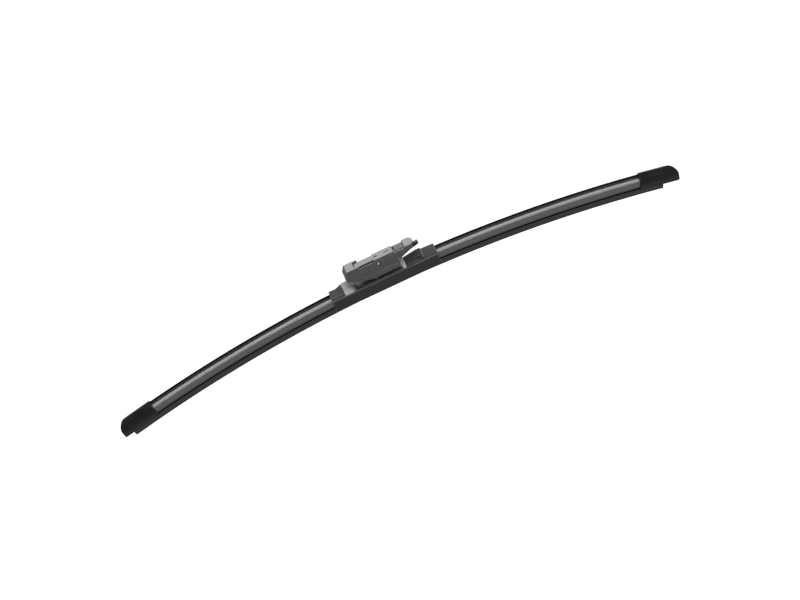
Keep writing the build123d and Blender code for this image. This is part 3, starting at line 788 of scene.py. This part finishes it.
COVER_PLASTIC = GrainedMoulding(
    "cover_plastic",
    dark=(0.034, 0.034, 0.035),
    light=(0.066, 0.066, 0.068),
    roughness=0.46,
    specular=0.14,
    edge=0.7,
    # painted highlight, partly wear: much paler edges, such as the line along the skirt's shoulder
    edge_highlight_and_wear=6.0,
    edge_turn=0.1,
    # painted shade: the cover is darker in its recesses
    recess=4.0,
    painted_shade=0.3,
)
CARRIER_PLASTIC = PartedMoulding(
    "carrier_plastic",
    dark=(0.4, 0.42, 0.42),
    light=(0.58, 0.6, 0.6),
    roughness=0.5,
    specular=0.3,
    # painted shade: the carrier is a little darker in its recesses
    painted_shade=0.05,
    # painted shade: between start and stop the carrier is nearly black, where it runs under the adapter
    second=(0.03, 0.031, 0.031),
    start=(-29.5, -24.0),
    stop=(15.6, 16.3),
)
ADAPTER_PLASTIC = SatinMoulding(
    "adapter_plastic",
    dark=(0.07, 0.074, 0.074),
    light=(0.122, 0.128, 0.128),
    roughness=0.27,
    specular=0.33,
    edge=0.7,
    # painted highlight, partly wear: paler edges, such as the band along the top of the side
    edge_highlight_and_wear=1.2,
    edge_turn=0.07,
    # painted shade: much darker in narrow recesses, such as round the plate and in the pin's hole
    recess=1.6,
    painted_shade=0.8,
)
PLATE_PLASTIC = SatinMoulding(
    "plate_plastic",
    dark=(0.12, 0.12, 0.124),
    light=(0.19, 0.19, 0.197),
    roughness=0.36,
    specular=0.26,
)
LEVER_PLASTIC = PartedMoulding(
    "lever_plastic",
    dark=(0.05, 0.052, 0.052),
    light=(0.09, 0.094, 0.094),
    roughness=0.45,
    specular=0.2,
    second=(0.008, 0.0085, 0.0085),
    start=(25.0, 27.0),
)
SPRING_STEEL = RolledSteel(
    "spring_steel",
    dark=(0.42, 0.42, 0.43),
    light=(0.6, 0.6, 0.62),
    roughness=0.34,
    specular=0.5,
)
PIN_STEEL = TurnedSteel(
    "pin_steel",
    dark=(0.05, 0.05, 0.052),
    light=(0.5, 0.5, 0.51),
    roughness=0.36,
    specular=0.5,
)


class FinishShop:
    """Makes each finish's material once."""

    def __init__(self) -> None:
        """Start with no materials."""
        self.made: dict[str, bpy.types.Material] = {}

    def get(self, finish: Finish) -> bpy.types.Material:
        """The material of a finish.

        Args:
            finish: the finish.
        Returns:
            Its material.
        """
        if finish.slot not in self.made:
            self.made[finish.slot] = finish.material()
        return self.made[finish.slot]

    def dress(self, node: bpy.types.Object, finish: Finish) -> None:
        """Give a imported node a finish.

        Args:
            node: the node's object.
            finish: the finish.
        """
        for slot in node.material_slots:
            slot.material = self.get(finish)
        LOG.info("dressed %s as %s", node.name, finish.slot)


def stand(name: str, data: bpy.types.ID) -> bpy.types.Object:
    """Put a mesh, curve, lamp or camera in the scene, at the origin.

    Args:
        name: the object's name.
        data: what it holds.
    Returns:
        The object.
    """
    made = bpy.data.objects.new(name, data)
    bpy.context.scene.collection.objects.link(made)
    return made


def write_smooth(shape: bmesh.types.BMesh, mesh: bpy.types.Mesh) -> None:
    """Write a shape to a mesh and shade it smooth, with its sharp edges kept.

    Args:
        shape: the shape, which is freed.
        mesh: the mesh.
    """
    shape.to_mesh(mesh)
    shape.free()
    mesh.shade_smooth()
    mesh.set_sharp_from_angle(angle=SHARP_ANGLE)


class Outline:
    """A closed outline across the blade: y to the rear, and the height above the rails' middle."""

    ROUND_STEPS = 5
    HOLD = 0.04

    def __init__(self) -> None:
        """Start with no points."""
        self.points: list[Vector] = []
        self.corners: list[tuple[Vector, float]] = []

    def line(self, y: float, height: float, radius: float = 0.0) -> Outline:
        """Go straight to a corner.

        Args:
            y: the corner's place across.
            height: the corner's height.
            radius: the corner's round.
        Returns:
            This outline.
        """
        corner = Vector((y, height))
        self.points.append(corner)
        if radius > 0.0:
            self.corners.append((corner, radius))
        return self

    def hollow(self, y: float, height: float, sag: float, radius: float = 0.0, steps: int = 18) -> Outline:
        """Go to a corner along a round hollow.

        Args:
            y: the corner's place across.
            height: the corner's height.
            sag: how far the hollow dips to the right of the way there.
            radius: the corner's round.
            steps: the hollow's facets.
        Returns:
            This outline.
        """
        start = self.points[-1]
        chord = Vector((y, height)) - start
        side = Vector((chord.y, -chord.x)).normalized()
        arc_radius = chord.length_squared / (8.0 * sag) + sag / 2.0
        centre = start + chord / 2.0 + side * (sag - arc_radius)
        half_angle = math.asin(chord.length / (2.0 * arc_radius))
        for step in range(1, steps):
            angle = half_angle * (2.0 * step / steps - 1.0)
            along = chord.normalized() * (arc_radius * math.sin(angle))
            self.points.append(centre + along + side * (arc_radius * math.cos(angle)))
        return self.line(y, height, radius)

    def closed(self) -> list[Vector]:
        """The outline's points, with its corners rounded.

        Returns:
            The points in order.
        """
        points = self.points
        for corner, radius in self.corners:
            points = self._rounded(points, corner, radius)
        return points

    def _rounded(self, points: list[Vector], corner: Vector, radius: float) -> list[Vector]:
        """The points with one corner rounded, and held just beyond it so that its flats shade flat.

        Args:
            points: the outline.
            corner: the corner's point.
            radius: its round.
        Returns:
            The new outline.
        """
        turn = points.index(corner) - len(points) // 2
        points = points[turn:] + points[:turn]
        middle = points.index(corner)
        inward = (corner - points[middle - 1]).normalized()
        outward = (points[middle + 1] - corner).normalized()
        reach = radius * math.tan(inward.angle(outward) / 2.0)
        start = self._pace(points[middle::-1], reach)[0]
        end = self._pace(points[middle:], reach)[0]
        held_start, back = self._pace(points[middle::-1], reach + self.HOLD)
        held_end, ahead = self._pace(points[middle:], reach + self.HOLD)
        curve = [held_start]
        for step in range(self.ROUND_STEPS + 1):
            share = step / self.ROUND_STEPS
            curve.append(start.lerp(corner, share).lerp(corner.lerp(end, share), share))
        return points[: middle - back] + [*curve, held_end] + points[middle + 1 + ahead :]

    @staticmethod
    def _pace(run: list[Vector], reach: float) -> tuple[Vector, int]:
        """Go a distance along a run of points.

        Args:
            run: the points, from the corner on.
            reach: the distance.
        Returns:
            The place, and how many points were passed.
        """
        passed = 0
        while (run[passed + 1] - run[passed]).length < reach:
            reach -= (run[passed + 1] - run[passed]).length
            passed += 1
        step = run[passed + 1] - run[passed]
        return run[passed] + step.normalized() * reach, passed


class ArcSweep:
    """The geometry tree that draws a section along the blade's arc."""

    SECTION = "Section"
    RADIUS = "Arc radius"
    DROP = "Rail drop"
    START = "Start"
    END = "End"
    STEPS = "Steps"
    FINISH = "Finish"
    MERGE = 0.001

    def __init__(self) -> None:
        """Build the tree with its named inputs."""
        self.tree = bpy.data.node_groups.new("arc_sweep", "GeometryNodeTree")
        graph = Graph(self.tree)
        face = self.tree.interface
        face.new_socket("Geometry", in_out="INPUT", socket_type="NodeSocketGeometry")
        kinds = {
            self.SECTION: "NodeSocketObject",
            self.RADIUS: "NodeSocketFloat",
            self.DROP: "NodeSocketFloat",
            self.START: "NodeSocketFloat",
            self.END: "NodeSocketFloat",
            self.STEPS: "NodeSocketInt",
            self.FINISH: "NodeSocketMaterial",
        }
        self.inputs = {
            name: face.new_socket(name, in_out="INPUT", socket_type=kind).identifier
            for name, kind in kinds.items()
        }
        face.new_socket("Geometry", in_out="OUTPUT", socket_type="NodeSocketGeometry")
        self._fill(graph)

    def _fill(self, graph: Graph) -> None:
        """Sweep the section along a straight line, then bend the result round the arc.

        Args:
            graph: the tree's graph.
        """
        given = graph.node("NodeGroupInput")
        section, radius, drop, start, end, steps, finish = (
            graph.out(given, self.inputs[name]) for name in self.inputs
        )
        section_info = graph.node("GeometryNodeObjectInfo", None, {"Object": section})
        first = graph.out(graph.node("ShaderNodeCombineXYZ", None, {"X": start * radius}))
        last = graph.out(graph.node("ShaderNodeCombineXYZ", None, {"X": end * radius}))
        line = graph.node("GeometryNodeCurvePrimitiveLine", {"mode": "POINTS"}, {"Start": first, "End": last})
        path = graph.node("GeometryNodeResampleCurve", None, {"Curve": graph.out(line), "Count": steps})
        swept = graph.node(
            "GeometryNodeCurveToMesh",
            None,
            {
                "Curve": graph.out(path),
                "Profile Curve": graph.out(section_info, "Geometry"),
                "Fill Caps": True,
            },
        )
        place = graph.out(graph.node("GeometryNodeInputPosition"))
        kept = graph.node(
            "GeometryNodeStoreNamedAttribute",
            {"data_type": "FLOAT_VECTOR", "domain": "POINT"},
            {"Geometry": graph.out(swept), "Name": Weave.UNBENT.value, "Value": place},
        )
        along, across, height = graph.split(place)
        angle = along / radius
        reach = height + radius
        bent = graph.node(
            "ShaderNodeCombineXYZ",
            None,
            {
                "X": reach * graph.math("SINE", angle),
                "Y": across,
                "Z": reach * graph.math("COSINE", angle) - radius - drop,
            },
        )
        moved = graph.node(
            "GeometryNodeSetPosition", None, {"Geometry": graph.out(kept), "Position": graph.out(bent)}
        )
        real = graph.node("GeometryNodeRealizeInstances", None, {"Geometry": graph.out(moved)})
        dressed = graph.node(
            "GeometryNodeSetMaterial", None, {"Geometry": graph.out(real), "Material": finish}
        )
        graph.node("NodeGroupOutput", None, {"Geometry": graph.out(dressed)})

    def make(self, name: str, outline: list[Vector], values: dict[str, Any]) -> bpy.types.Object:
        """Sweep an outline.

        Args:
            name: the piece's name.
            outline: the section's points, in millimetres.
            values: the tree's other inputs, by name.
        Returns:
            The piece, as a plain mesh.
        """
        curve = bpy.data.curves.new(f"{name}_section", "CURVE")
        curve.dimensions = "2D"
        curve.fill_mode = "NONE"
        spline = curve.splines.new("POLY")
        spline.points.add(len(outline) - 1)
        for point, corner in zip(spline.points, outline):
            point.co = (-corner.x * MM, -corner.y * MM, 0.0, 1.0)
        spline.use_cyclic_u = True
        section = stand(curve.name, curve)
        carrier = stand(f"{name}_carrier", bpy.data.meshes.new(f"{name}_carrier"))
        modifier = carrier.modifiers.new("sweep", "NODES")
        modifier.node_group = self.tree
        for key, value in {**values, self.SECTION: section}.items():
            modifier[self.inputs[key]] = value
        graph = bpy.context.evaluated_depsgraph_get()
        mesh = bpy.data.meshes.new_from_object(carrier.evaluated_get(graph), depsgraph=graph)
        carrier.modifiers.clear()
        for helper in (section, carrier):
            bpy.data.objects.remove(helper)
        return self._piece(name, mesh)

    @staticmethod
    def _piece(name: str, mesh: bpy.types.Mesh) -> bpy.types.Object:
        """A clean piece from a swept mesh, which has its material already.

        Args:
            name: the piece's name.
            mesh: the swept mesh.
        Returns:
            The piece.
        """
        mesh.name = name
        shape = bmesh.new()
        shape.from_mesh(mesh)
        bmesh.ops.remove_doubles(shape, verts=shape.verts, dist=ArcSweep.MERGE * MM)
        bmesh.ops.recalc_face_normals(shape, faces=shape.faces)
        write_smooth(shape, mesh)
        return stand(name, mesh)


@dataclass(frozen=True)
class BladeArc:
    """The arc that the rails, the rubber and the spoilers follow."""

    radius: float = 1160.0
    drop: float = 16.3
    length: float = 500.0
    middle: float = 2.5
    cap_length: float = 32.2

    def station(self, x: float) -> float:
        """The angle of a place along the blade."""
        return math.asin(x / self.radius)

    def from_tip(self, side: int, setback: float) -> float:
        """The angle of a place that lies a distance inside a tip.

        Args:
            side: -1 for the left tip, 1 for the right one.
            setback: the distance from the tip.
        Returns:
            The angle, in radians.
        """
        tip = abs(self.middle + side * self.length / 2.0)
        half = self.cap_length / 2.0
        turn = math.asin(tip / math.hypot(self.radius, half)) - math.atan2(half, self.radius)
        return side * (turn + self.station(half - setback))

    def sweep_values(
        self, start: float, end: float, steps: int, finish: bpy.types.Material
    ) -> dict[str, Any]:
        """The sweep's inputs for a stretch of this arc.

        Args:
            start: the angle where it starts.
            end: the angle where it ends.
            steps: the number of stations along it.
            finish: the material.
        Returns:
            The inputs by name.
        """
        return {
            ArcSweep.RADIUS: self.radius * MM,
            ArcSweep.DROP: self.drop * MM,
            ArcSweep.START: start,
            ArcSweep.END: end,
            ArcSweep.STEPS: steps,
            ArcSweep.FINISH: finish,
        }


@dataclass(frozen=True)
class Spoilers:
    """The two spoiler extrusions, one on each arm."""

    arc: BladeArc
    foot_half: float = 6.0
    foot_drop: float = 1.8
    wall_top_half: float = 5.5
    bead_height: float = 0.6
    bead_step: float = 0.25
    bead_round: float = 0.15
    ledge: float = 3.1
    ledge_round: float = 0.6
    ridge: float = 6.35
    ridge_front: float = 1.2
    ridge_width: float = 0.45
    ridge_round: float = 0.18
    fin_foot: float = 4.2
    fin_lean: float = 0.2
    fin_root: float = 1.2
    front_hollow: float = 0.63
    rear_hollow: float = 0.3
    rail_half: float = 5.35
    groove_half: float = 0.6
    head_half: float = 3.7
    head_top: float = 1.65
    throat_half: float = 4.15
    cap_setback: float = 14.3
    base_end: float = 35.6
    steps: int = 110

    def outline(self) -> list[Vector]:
        """The section: beaded foot, hollow front, upright fin, and the channel for the rails.

        Returns:
            The section's points.
        """
        bead = self.bead_height - self.foot_drop
        fin_front = self.ridge_front + self.fin_lean
        pen = Outline()
        pen.line(-self.foot_half, -self.foot_drop, self.bead_round)
        pen.line(-self.foot_half, bead, self.bead_round)
        pen.line(self.bead_step - self.foot_half, bead + self.bead_step, self.bead_round)
        pen.line(-self.wall_top_half, self.ledge, self.ledge_round)
        pen.hollow(self.ridge_front, self.fin_foot, self.front_hollow, self.fin_root)
        pen.line(fin_front, self.ridge, self.ridge_round)
        pen.line(fin_front + self.ridge_width, self.ridge, self.ridge_round)
        pen.hollow(self.wall_top_half, self.ledge, self.rear_hollow, self.ledge_round)
        pen.line(self.foot_half - self.bead_step, bead + self.bead_step, self.bead_round)
        pen.line(self.foot_half, bead, self.bead_round)
        pen.line(self.foot_half, -self.foot_drop, self.bead_round)
        for side in (1, -1):
            channel = [
                (self.throat_half, -self.foot_drop),
                (self.throat_half, -self.groove_half),
                (self.rail_half, -self.groove_half),
                (self.rail_half, self.groove_half),
                (self.head_half, self.groove_half),
                (self.head_half, self.head_top),
            ]
            for y, height in channel[::side]:
                pen.line(side * y, height)
        return pen.closed()

    def build(self, sweep: ArcSweep, shop: FinishShop) -> None:
        """Sweep both spoilers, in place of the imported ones.

        Args:
            sweep: the geometry tree.
            shop: the finishes.
        """
        finish = shop.get(SPOILER_RUBBER)
        for name, side in (("spoiler_left", -1), ("spoiler_right", 1)):
            ends = (self.arc.from_tip(side, self.cap_setback), side * self.arc.station(self.base_end))
            values = self.arc.sweep_values(min(ends), max(ends), self.steps, finish)
            piece = sweep.make(f"{name}_extrusion", self.outline(), values)
            settle(piece, Body.BLADE, SPOILER_RUBBER, name)


@dataclass(frozen=True)
class Squeegee:
    """The rubber element: head, rail grooves, tilting neck, wedge and lip."""

    arc: BladeArc
    head_half: float = 3.6
    head_top: float = 1.55
    groove_half: float = 0.6
    edge_round: float = 0.1
    web_half: float = 0.95
    body_half: float = 3.6
    body_foot: float = -2.8
    body_round: float = 0.25
    neck_half: float = 0.45
    neck_round: float = 0.3
    wedge_half: float = 2.7
    wedge_top: float = -3.9
    wedge_shoulder: float = 0.8
    wedge_round: float = 0.2
    heel_half: float = 1.9
    heel: float = -8.7
    heel_round: float = 0.35
    lip_half: float = 0.4
    lip_top: float = -9.5
    lip: float = -11.0
    setback_left: float = 7.5
    setback_right: float = 13.8
    steps: int = 200

    def outline(self) -> list[Vector]:
        """The section, even about its middle.

        Returns:
            The section's points.
        """
        half = [
            (self.head_half, self.head_top, self.edge_round),
            (self.head_half, self.groove_half, self.edge_round),
            (self.web_half, self.groove_half, 0.0),
            (self.web_half, -self.groove_half, 0.0),
            (self.body_half, -self.groove_half, self.edge_round),
            (self.body_half, self.body_foot, self.body_round),
            (self.neck_half, self.body_foot, self.neck_round),
            (self.neck_half, self.wedge_top, self.neck_round),
            (self.wedge_half, self.wedge_top, self.wedge_round),
            (self.wedge_half, self.wedge_top - self.wedge_shoulder, self.wedge_round),
            (self.heel_half, self.heel, self.heel_round),
            (self.lip_half, self.lip_top, self.heel_round),
            (self.lip_half, self.lip, 0.0),
        ]
        pen = Outline()
        for y, height, radius in half:
            pen.line(y, height, radius)
        for y, height, radius in reversed(half):
            pen.line(-y, height, radius)
        return pen.closed()

    def build(self, sweep: ArcSweep, shop: FinishShop) -> None:
        """Sweep the rubber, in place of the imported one.

        Args:
            sweep: the geometry tree.
            shop: the finishes.
        """
        start = self.arc.from_tip(-1, self.setback_left)
        end = self.arc.from_tip(1, self.setback_right)
        values = self.arc.sweep_values(start, end, self.steps, shop.get(SQUEEGEE_RUBBER))
        piece = sweep.make("squeegee_extrusion", self.outline(), values)
        settle(piece, Body.BLADE, SQUEEGEE_RUBBER, "wiper_rubber")


def settle(piece: bpy.types.Object, body: Body, finish: Finish, *nodes: str) -> None:
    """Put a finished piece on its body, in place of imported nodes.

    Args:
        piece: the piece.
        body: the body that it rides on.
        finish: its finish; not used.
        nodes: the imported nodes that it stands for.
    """
    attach(piece, body.value)
    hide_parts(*nodes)
    LOG.info("%s rides on %s with %d faces", piece.name, body.value, len(piece.data.polygons))


@dataclass(frozen=True)
class LeafSpring:
    """The leaf spring under the button: a strip with a flat root and a straight run to its tip."""

    thickness: float = 0.4
    root_end: float = 10.6
    edge_round: float = 0.08
    steps: int = 24

    ROUND_STEPS = 2
    ROUND_PROFILE = 0.5

    def build(self, shop: FinishShop) -> None:
        """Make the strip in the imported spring's box, bent across the lever's joint.

        Args:
            shop: the finishes.
        """
        low, high = (Vector(corner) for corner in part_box("lever_spring"))
        half = self.thickness * MM / 2.0
        root = Vector((self.root_end * MM, 0.0, low.z + half))
        tip = Vector((high.x, 0.0, high.z - half))
        places = [Vector((low.x, 0.0, root.z))]
        places += [root.lerp(tip, step / self.steps) for step in range(self.steps + 1)]
        mesh = self._strip(places, high.y, half)
        mesh.materials.append(shop.get(SPRING_STEEL))
        piece = stand(mesh.name, mesh)
        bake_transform(piece)
        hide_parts("lever_spring")
        LOG.info("%s bends between adapter and lever with %d faces", piece.name, len(mesh.polygons))

    def _strip(self, places: list[Vector], half_width: float, half: float) -> bpy.types.Mesh:
        """A strip with eased long edges.

        Args:
            places: the middle of the strip, from its root to its tip.
            half_width: half its width.
            half: half its thickness.
        Returns:
            The mesh.
        """
        corners = ((-half_width, -half), (half_width, -half), (half_width, half), (-half_width, half))
        shape = bmesh.new()
        rings = [[shape.verts.new((place.x, y, place.z + z)) for y, z in corners] for place in places]
        for near, far in zip(rings, rings[1:]):
            for index in range(len(corners)):
                ahead = (index + 1) % len(corners)
                shape.faces.new((near[index], near[ahead], far[ahead], far[index]))
        shape.faces.new(rings[0])
        shape.faces.new(rings[-1])
        bmesh.ops.recalc_face_normals(shape, faces=shape.faces)
        long_edges = [edge for edge in shape.edges if abs(edge.verts[0].co.x - edge.verts[1].co.x) > half]
        bmesh.ops.bevel(
            shape,
            geom=long_edges,
            offset=self.edge_round * MM,
            segments=self.ROUND_STEPS,
            profile=self.ROUND_PROFILE,
            affect="EDGES",
        )
        mesh = bpy.data.meshes.new("lever_leaf")
        write_smooth(shape, mesh)
        return mesh


@dataclass(frozen=True)
class PlainParts:
    """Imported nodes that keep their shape, with the finish of each."""

    finishes: dict[str, Finish] = field(
        default_factory=lambda: {
            "spring_rail_front": SPRING_STEEL,
            "spring_rail_rear": SPRING_STEEL,
            "hinge_pin": PIN_STEEL,
            "end_cap_left": CAP_PLASTIC,
            "end_cap_right": CAP_PLASTIC,
            "base_cover": COVER_PLASTIC,
            "base_carrier": CARRIER_PLASTIC,
            "adapter_body": ADAPTER_PLASTIC,
            "adapter_plate": PLATE_PLASTIC,
            "locking_lever": LEVER_PLASTIC,
        }
    )

    def dress(self, nodes: dict[str, bpy.types.Object], shop: FinishShop) -> None:
        """Give each node its finish.

        Args:
            nodes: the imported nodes.
            shop: the finishes.
        """
        for name, finish in self.finishes.items():
            shop.dress(nodes[name], finish)


@dataclass(frozen=True)
class Softbox:
    """A soft rectangular lamp that faces the blade.

    Attributes:
        name: the lamp's name.
        azimuth: its angle from straight behind the blade, round by the right, in degrees.
        height: its angle above the horizon, in degrees.
        size: its width and height, in millimetres.
        level: its brightness, as a share of white.
        distance: its distance, in millimetres.
        mirrored: whether glossy surfaces show it.
    """

    name: str
    azimuth: float
    height: float
    size: tuple[float, float]
    level: float
    distance: float = 1500.0
    mirrored: bool = False

    def build(self) -> None:
        """Make the lamp."""
        width, height = (size * MM for size in self.size)
        lamp = bpy.data.lights.new(self.name, "AREA")
        lamp.shape = "RECTANGLE"
        lamp.size = width
        lamp.size_y = height
        lamp.energy = self.level * math.pi * width * height
        azimuth, angle = math.radians(self.azimuth), math.radians(self.height)
        level_way = Vector((math.sin(azimuth), math.cos(azimuth), 0.0))
        towards = level_way * math.cos(angle) + Vector((0.0, 0.0, math.sin(angle)))
        turn = towards.to_track_quat("Z", "Y").to_matrix().to_4x4()
        box = stand(self.name, lamp)
        box.matrix_world = Matrix.Translation(towards * self.distance * MM) @ turn
        box.visible_glossy = self.mirrored


@dataclass(frozen=True)
class Studio:
    """White sweep, softboxes behind, beside and before the blade, and a long-lens camera.

    Attributes:
        floor_drop: how far the floor lies below the pivot, in millimetres.
        floor_radius: the floor's radius, in millimetres.
        floor_sides: the number of its sides.
        floor_grey: the floor's own colour.
        floor_vary: how much its fibres vary that colour, as a share.
        floor_fibre: the fibres' pitch, in millimetres.
        floor_glow: what the camera sees added to it.
        floor_rear: the rear floor's brightness in reflections, as a share of white.
        floor_band: the places along Y between which it falls to that, in millimetres.
        ambient: the light from all round.
        room: the brightness in reflections well above the horizon, as a share of white.
        room_band: the sines of the heights between which it falls to that.
        lamps: the studio's lamps.
        elevation: the camera's angle above the horizon, in degrees.
        roll: how far the blade's right end is turned up, in degrees.
        distance: the camera's distance, in millimetres.
        image: the image's width and height.
        pixel: one pixel at the blade, in millimetres.
        pivot_at: the pivot's place in the image.
        clip: the nearest and farthest that the camera sees, in metres.
    """

    floor_drop: float = 600.0
    floor_radius: float = 4000.0
    floor_sides: int = 96
    floor_grey: float = 0.18
    floor_vary: float = 0.03
    floor_fibre: float = 60.0
    floor_glow: float = 1.0
    floor_rear: float = 0.12
    floor_band: Band = (-600.0, 200.0)
    ambient: float = 0.1
    room: float = 0.12
    room_band: Band = (0.0, 0.35)
    lamps: tuple[Softbox, ...] = (
        Softbox("rear_softbox", azimuth=0.0, height=46.0, size=(2000.0, 1150.0), level=4.9, mirrored=True),
        Softbox("front_softbox", azimuth=150.0, height=62.0, size=(1200.0, 1000.0), level=2.6),
        Softbox("side_softbox", azimuth=105.0, height=28.0, size=(1000.0, 800.0), level=3.6),
        Softbox("fill_softbox", azimuth=180.0, height=18.0, size=(1600.0, 700.0), level=0.75),
    )
    elevation: float = 30.0
    roll: float = 25.1
    distance: float = 3600.0
    image: tuple[int, int] = (800, 600)
    pixel: float = 0.8105
    pivot_at: tuple[float, float] = (377.2, 260.5)
    clip: tuple[float, float] = (0.1, 50.0)

    def build(self) -> None:
        """Make the world, floor, lamps and camera."""
        self._world()
        self._floor()
        for lamp in self.lamps:
            lamp.build()
        self._camera()

    @staticmethod
    def _seen(graph: Graph, mirrored: Term) -> tuple[Term, Term]:
        """Which rays show the background itself, and how bright it is to them.

        Args:
            graph: a world's or material's graph.
            mirrored: the brightness that reflections show, as a share of white.
        Returns:
            A mask that is 1 for those rays, and the brightness, which is 1 for the camera.
        """
        path = graph.node("ShaderNodeLightPath")
        camera, glossy, through = (
            graph.out(path, name) for name in ("Is Camera Ray", "Is Glossy Ray", "Is Transmission Ray")
        )
        mask = graph.math("MINIMUM", camera + glossy + through, 1.0)
        return mask, camera + (1.0 - camera) * mirrored

    def _world(self) -> None:
        """White to the camera, darker above the horizon in reflections, and a weak light from all round."""
        world = bpy.data.worlds.new("studio")
        world.use_nodes = True
        graph = Graph(world.node_tree)
        towards = graph.out(graph.node("ShaderNodeTexCoord"), "Generated")
        above = graph.split(towards)[2].rise(*self.room_band)
        seen, level = self._seen(graph, 1.0 - above * (1.0 - self.room))
        around = graph.node("ShaderNodeBackground", None, {"Color": WHITE, "Strength": self.ambient})
        white = graph.node("ShaderNodeBackground", None, {"Color": WHITE, "Strength": level})
        mixed = graph.node(
            "ShaderNodeMixShader",
            None,
            {"Fac": seen, "Shader": graph.out(around), "Shader_001": graph.out(white)},
        )
        graph.node("ShaderNodeOutputWorld", None, {"Surface": graph.out(mixed)})
        bpy.context.scene.world = world

    def _floor(self) -> None:
        """A pale floor, far enough down for the shadow to fall outside the picture."""
        shape = bmesh.new()
        radius = self.floor_radius * MM
        bmesh.ops.create_circle(shape, cap_ends=True, segments=self.floor_sides, radius=radius)
        bmesh.ops.translate(shape, verts=shape.verts, vec=(0.0, 0.0, -self.floor_drop * MM))
        mesh = bpy.data.meshes.new("studio_floor")
        shape.to_mesh(mesh)
        shape.free()
        material = bpy.data.materials.new("studio_floor_paper")
        material.use_nodes = True
        graph = Graph(material.node_tree)
        place = graph.out(graph.node("ShaderNodeTexCoord"), "Object")
        fibres = graph.noise(place, (self.floor_fibre,) * 3, detail=3.0)
        low, high = (self.floor_grey * (1.0 + vary) for vary in (-self.floor_vary, self.floor_vary))
        colour = graph.blend(fibres, (low,) * 3, (high,) * 3)
        paper = graph.node("ShaderNodeBsdfDiffuse", None, {"Color": colour})
        rear = graph.split(place)[1].rise(*(MM * edge for edge in self.floor_band))
        seen, level = self._seen(graph, 1.0 - rear * (1.0 - self.floor_rear))
        glow = graph.node("ShaderNodeEmission", None, {"Strength": seen * level * self.floor_glow})
        shaders = {"Shader": graph.out(paper), "Shader_001": graph.out(glow)}
        both = graph.node("ShaderNodeAddShader", None, shaders)
        graph.node("ShaderNodeOutputMaterial", None, {"Surface": graph.out(both)})
        mesh.materials.append(material)
        floor = stand("studio_floor", mesh)

    def _camera(self) -> None:
        """A long lens at the photograph's angle, rolled so that the blade rises to the right."""
        tilt, roll = math.radians(self.elevation), math.radians(self.roll)
        ahead = Vector((0.0, math.cos(tilt), -math.sin(tilt)))
        level_up = Vector((0.0, math.sin(tilt), math.cos(tilt)))
        level_right = Vector((1.0, 0.0, 0.0))
        right = level_right * math.cos(roll) - level_up * math.sin(roll)
        up = level_right * math.sin(roll) + level_up * math.cos(roll)
        width, height = self.image
        aside = (self.pivot_at[0] - width / 2.0) * self.pixel
        above = (height / 2.0 - self.pivot_at[1]) * self.pixel
        aim = (right * -aside + up * -above) * MM
        lens = bpy.data.cameras.new("camera")
        lens.sensor_fit = "HORIZONTAL"
        lens.lens = lens.sensor_width * self.distance / (width * self.pixel)
        lens.clip_start, lens.clip_end = self.clip
        camera = stand("camera", lens)
        turn = Matrix((right, up, -ahead)).transposed().to_4x4()
        camera.matrix_world = Matrix.Translation(aim - ahead * self.distance * MM) @ turn
        bpy.context.scene.camera = camera


def clear_scene() -> None:
    """Remove what Blender starts with and set the plain view."""
    for thing in list(bpy.data.objects):
        bpy.data.objects.remove(thing)
    bpy.context.scene.view_settings.view_transform = "Standard"


def main() -> None:
    """Load the frame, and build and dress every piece."""
    logging.basicConfig(level=logging.INFO, format="%(name)s: %(message)s")
    clear_scene()
    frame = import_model()
    shop = FinishShop()
    sweep = ArcSweep()
    arc = BladeArc()
    Spoilers(arc).build(sweep, shop)
    Squeegee(arc).build(sweep, shop)
    LeafSpring().build(shop)
    PlainParts().dress(frame["nodes"], shop)
    Studio().build()


if __name__ == "__main__":
    main()
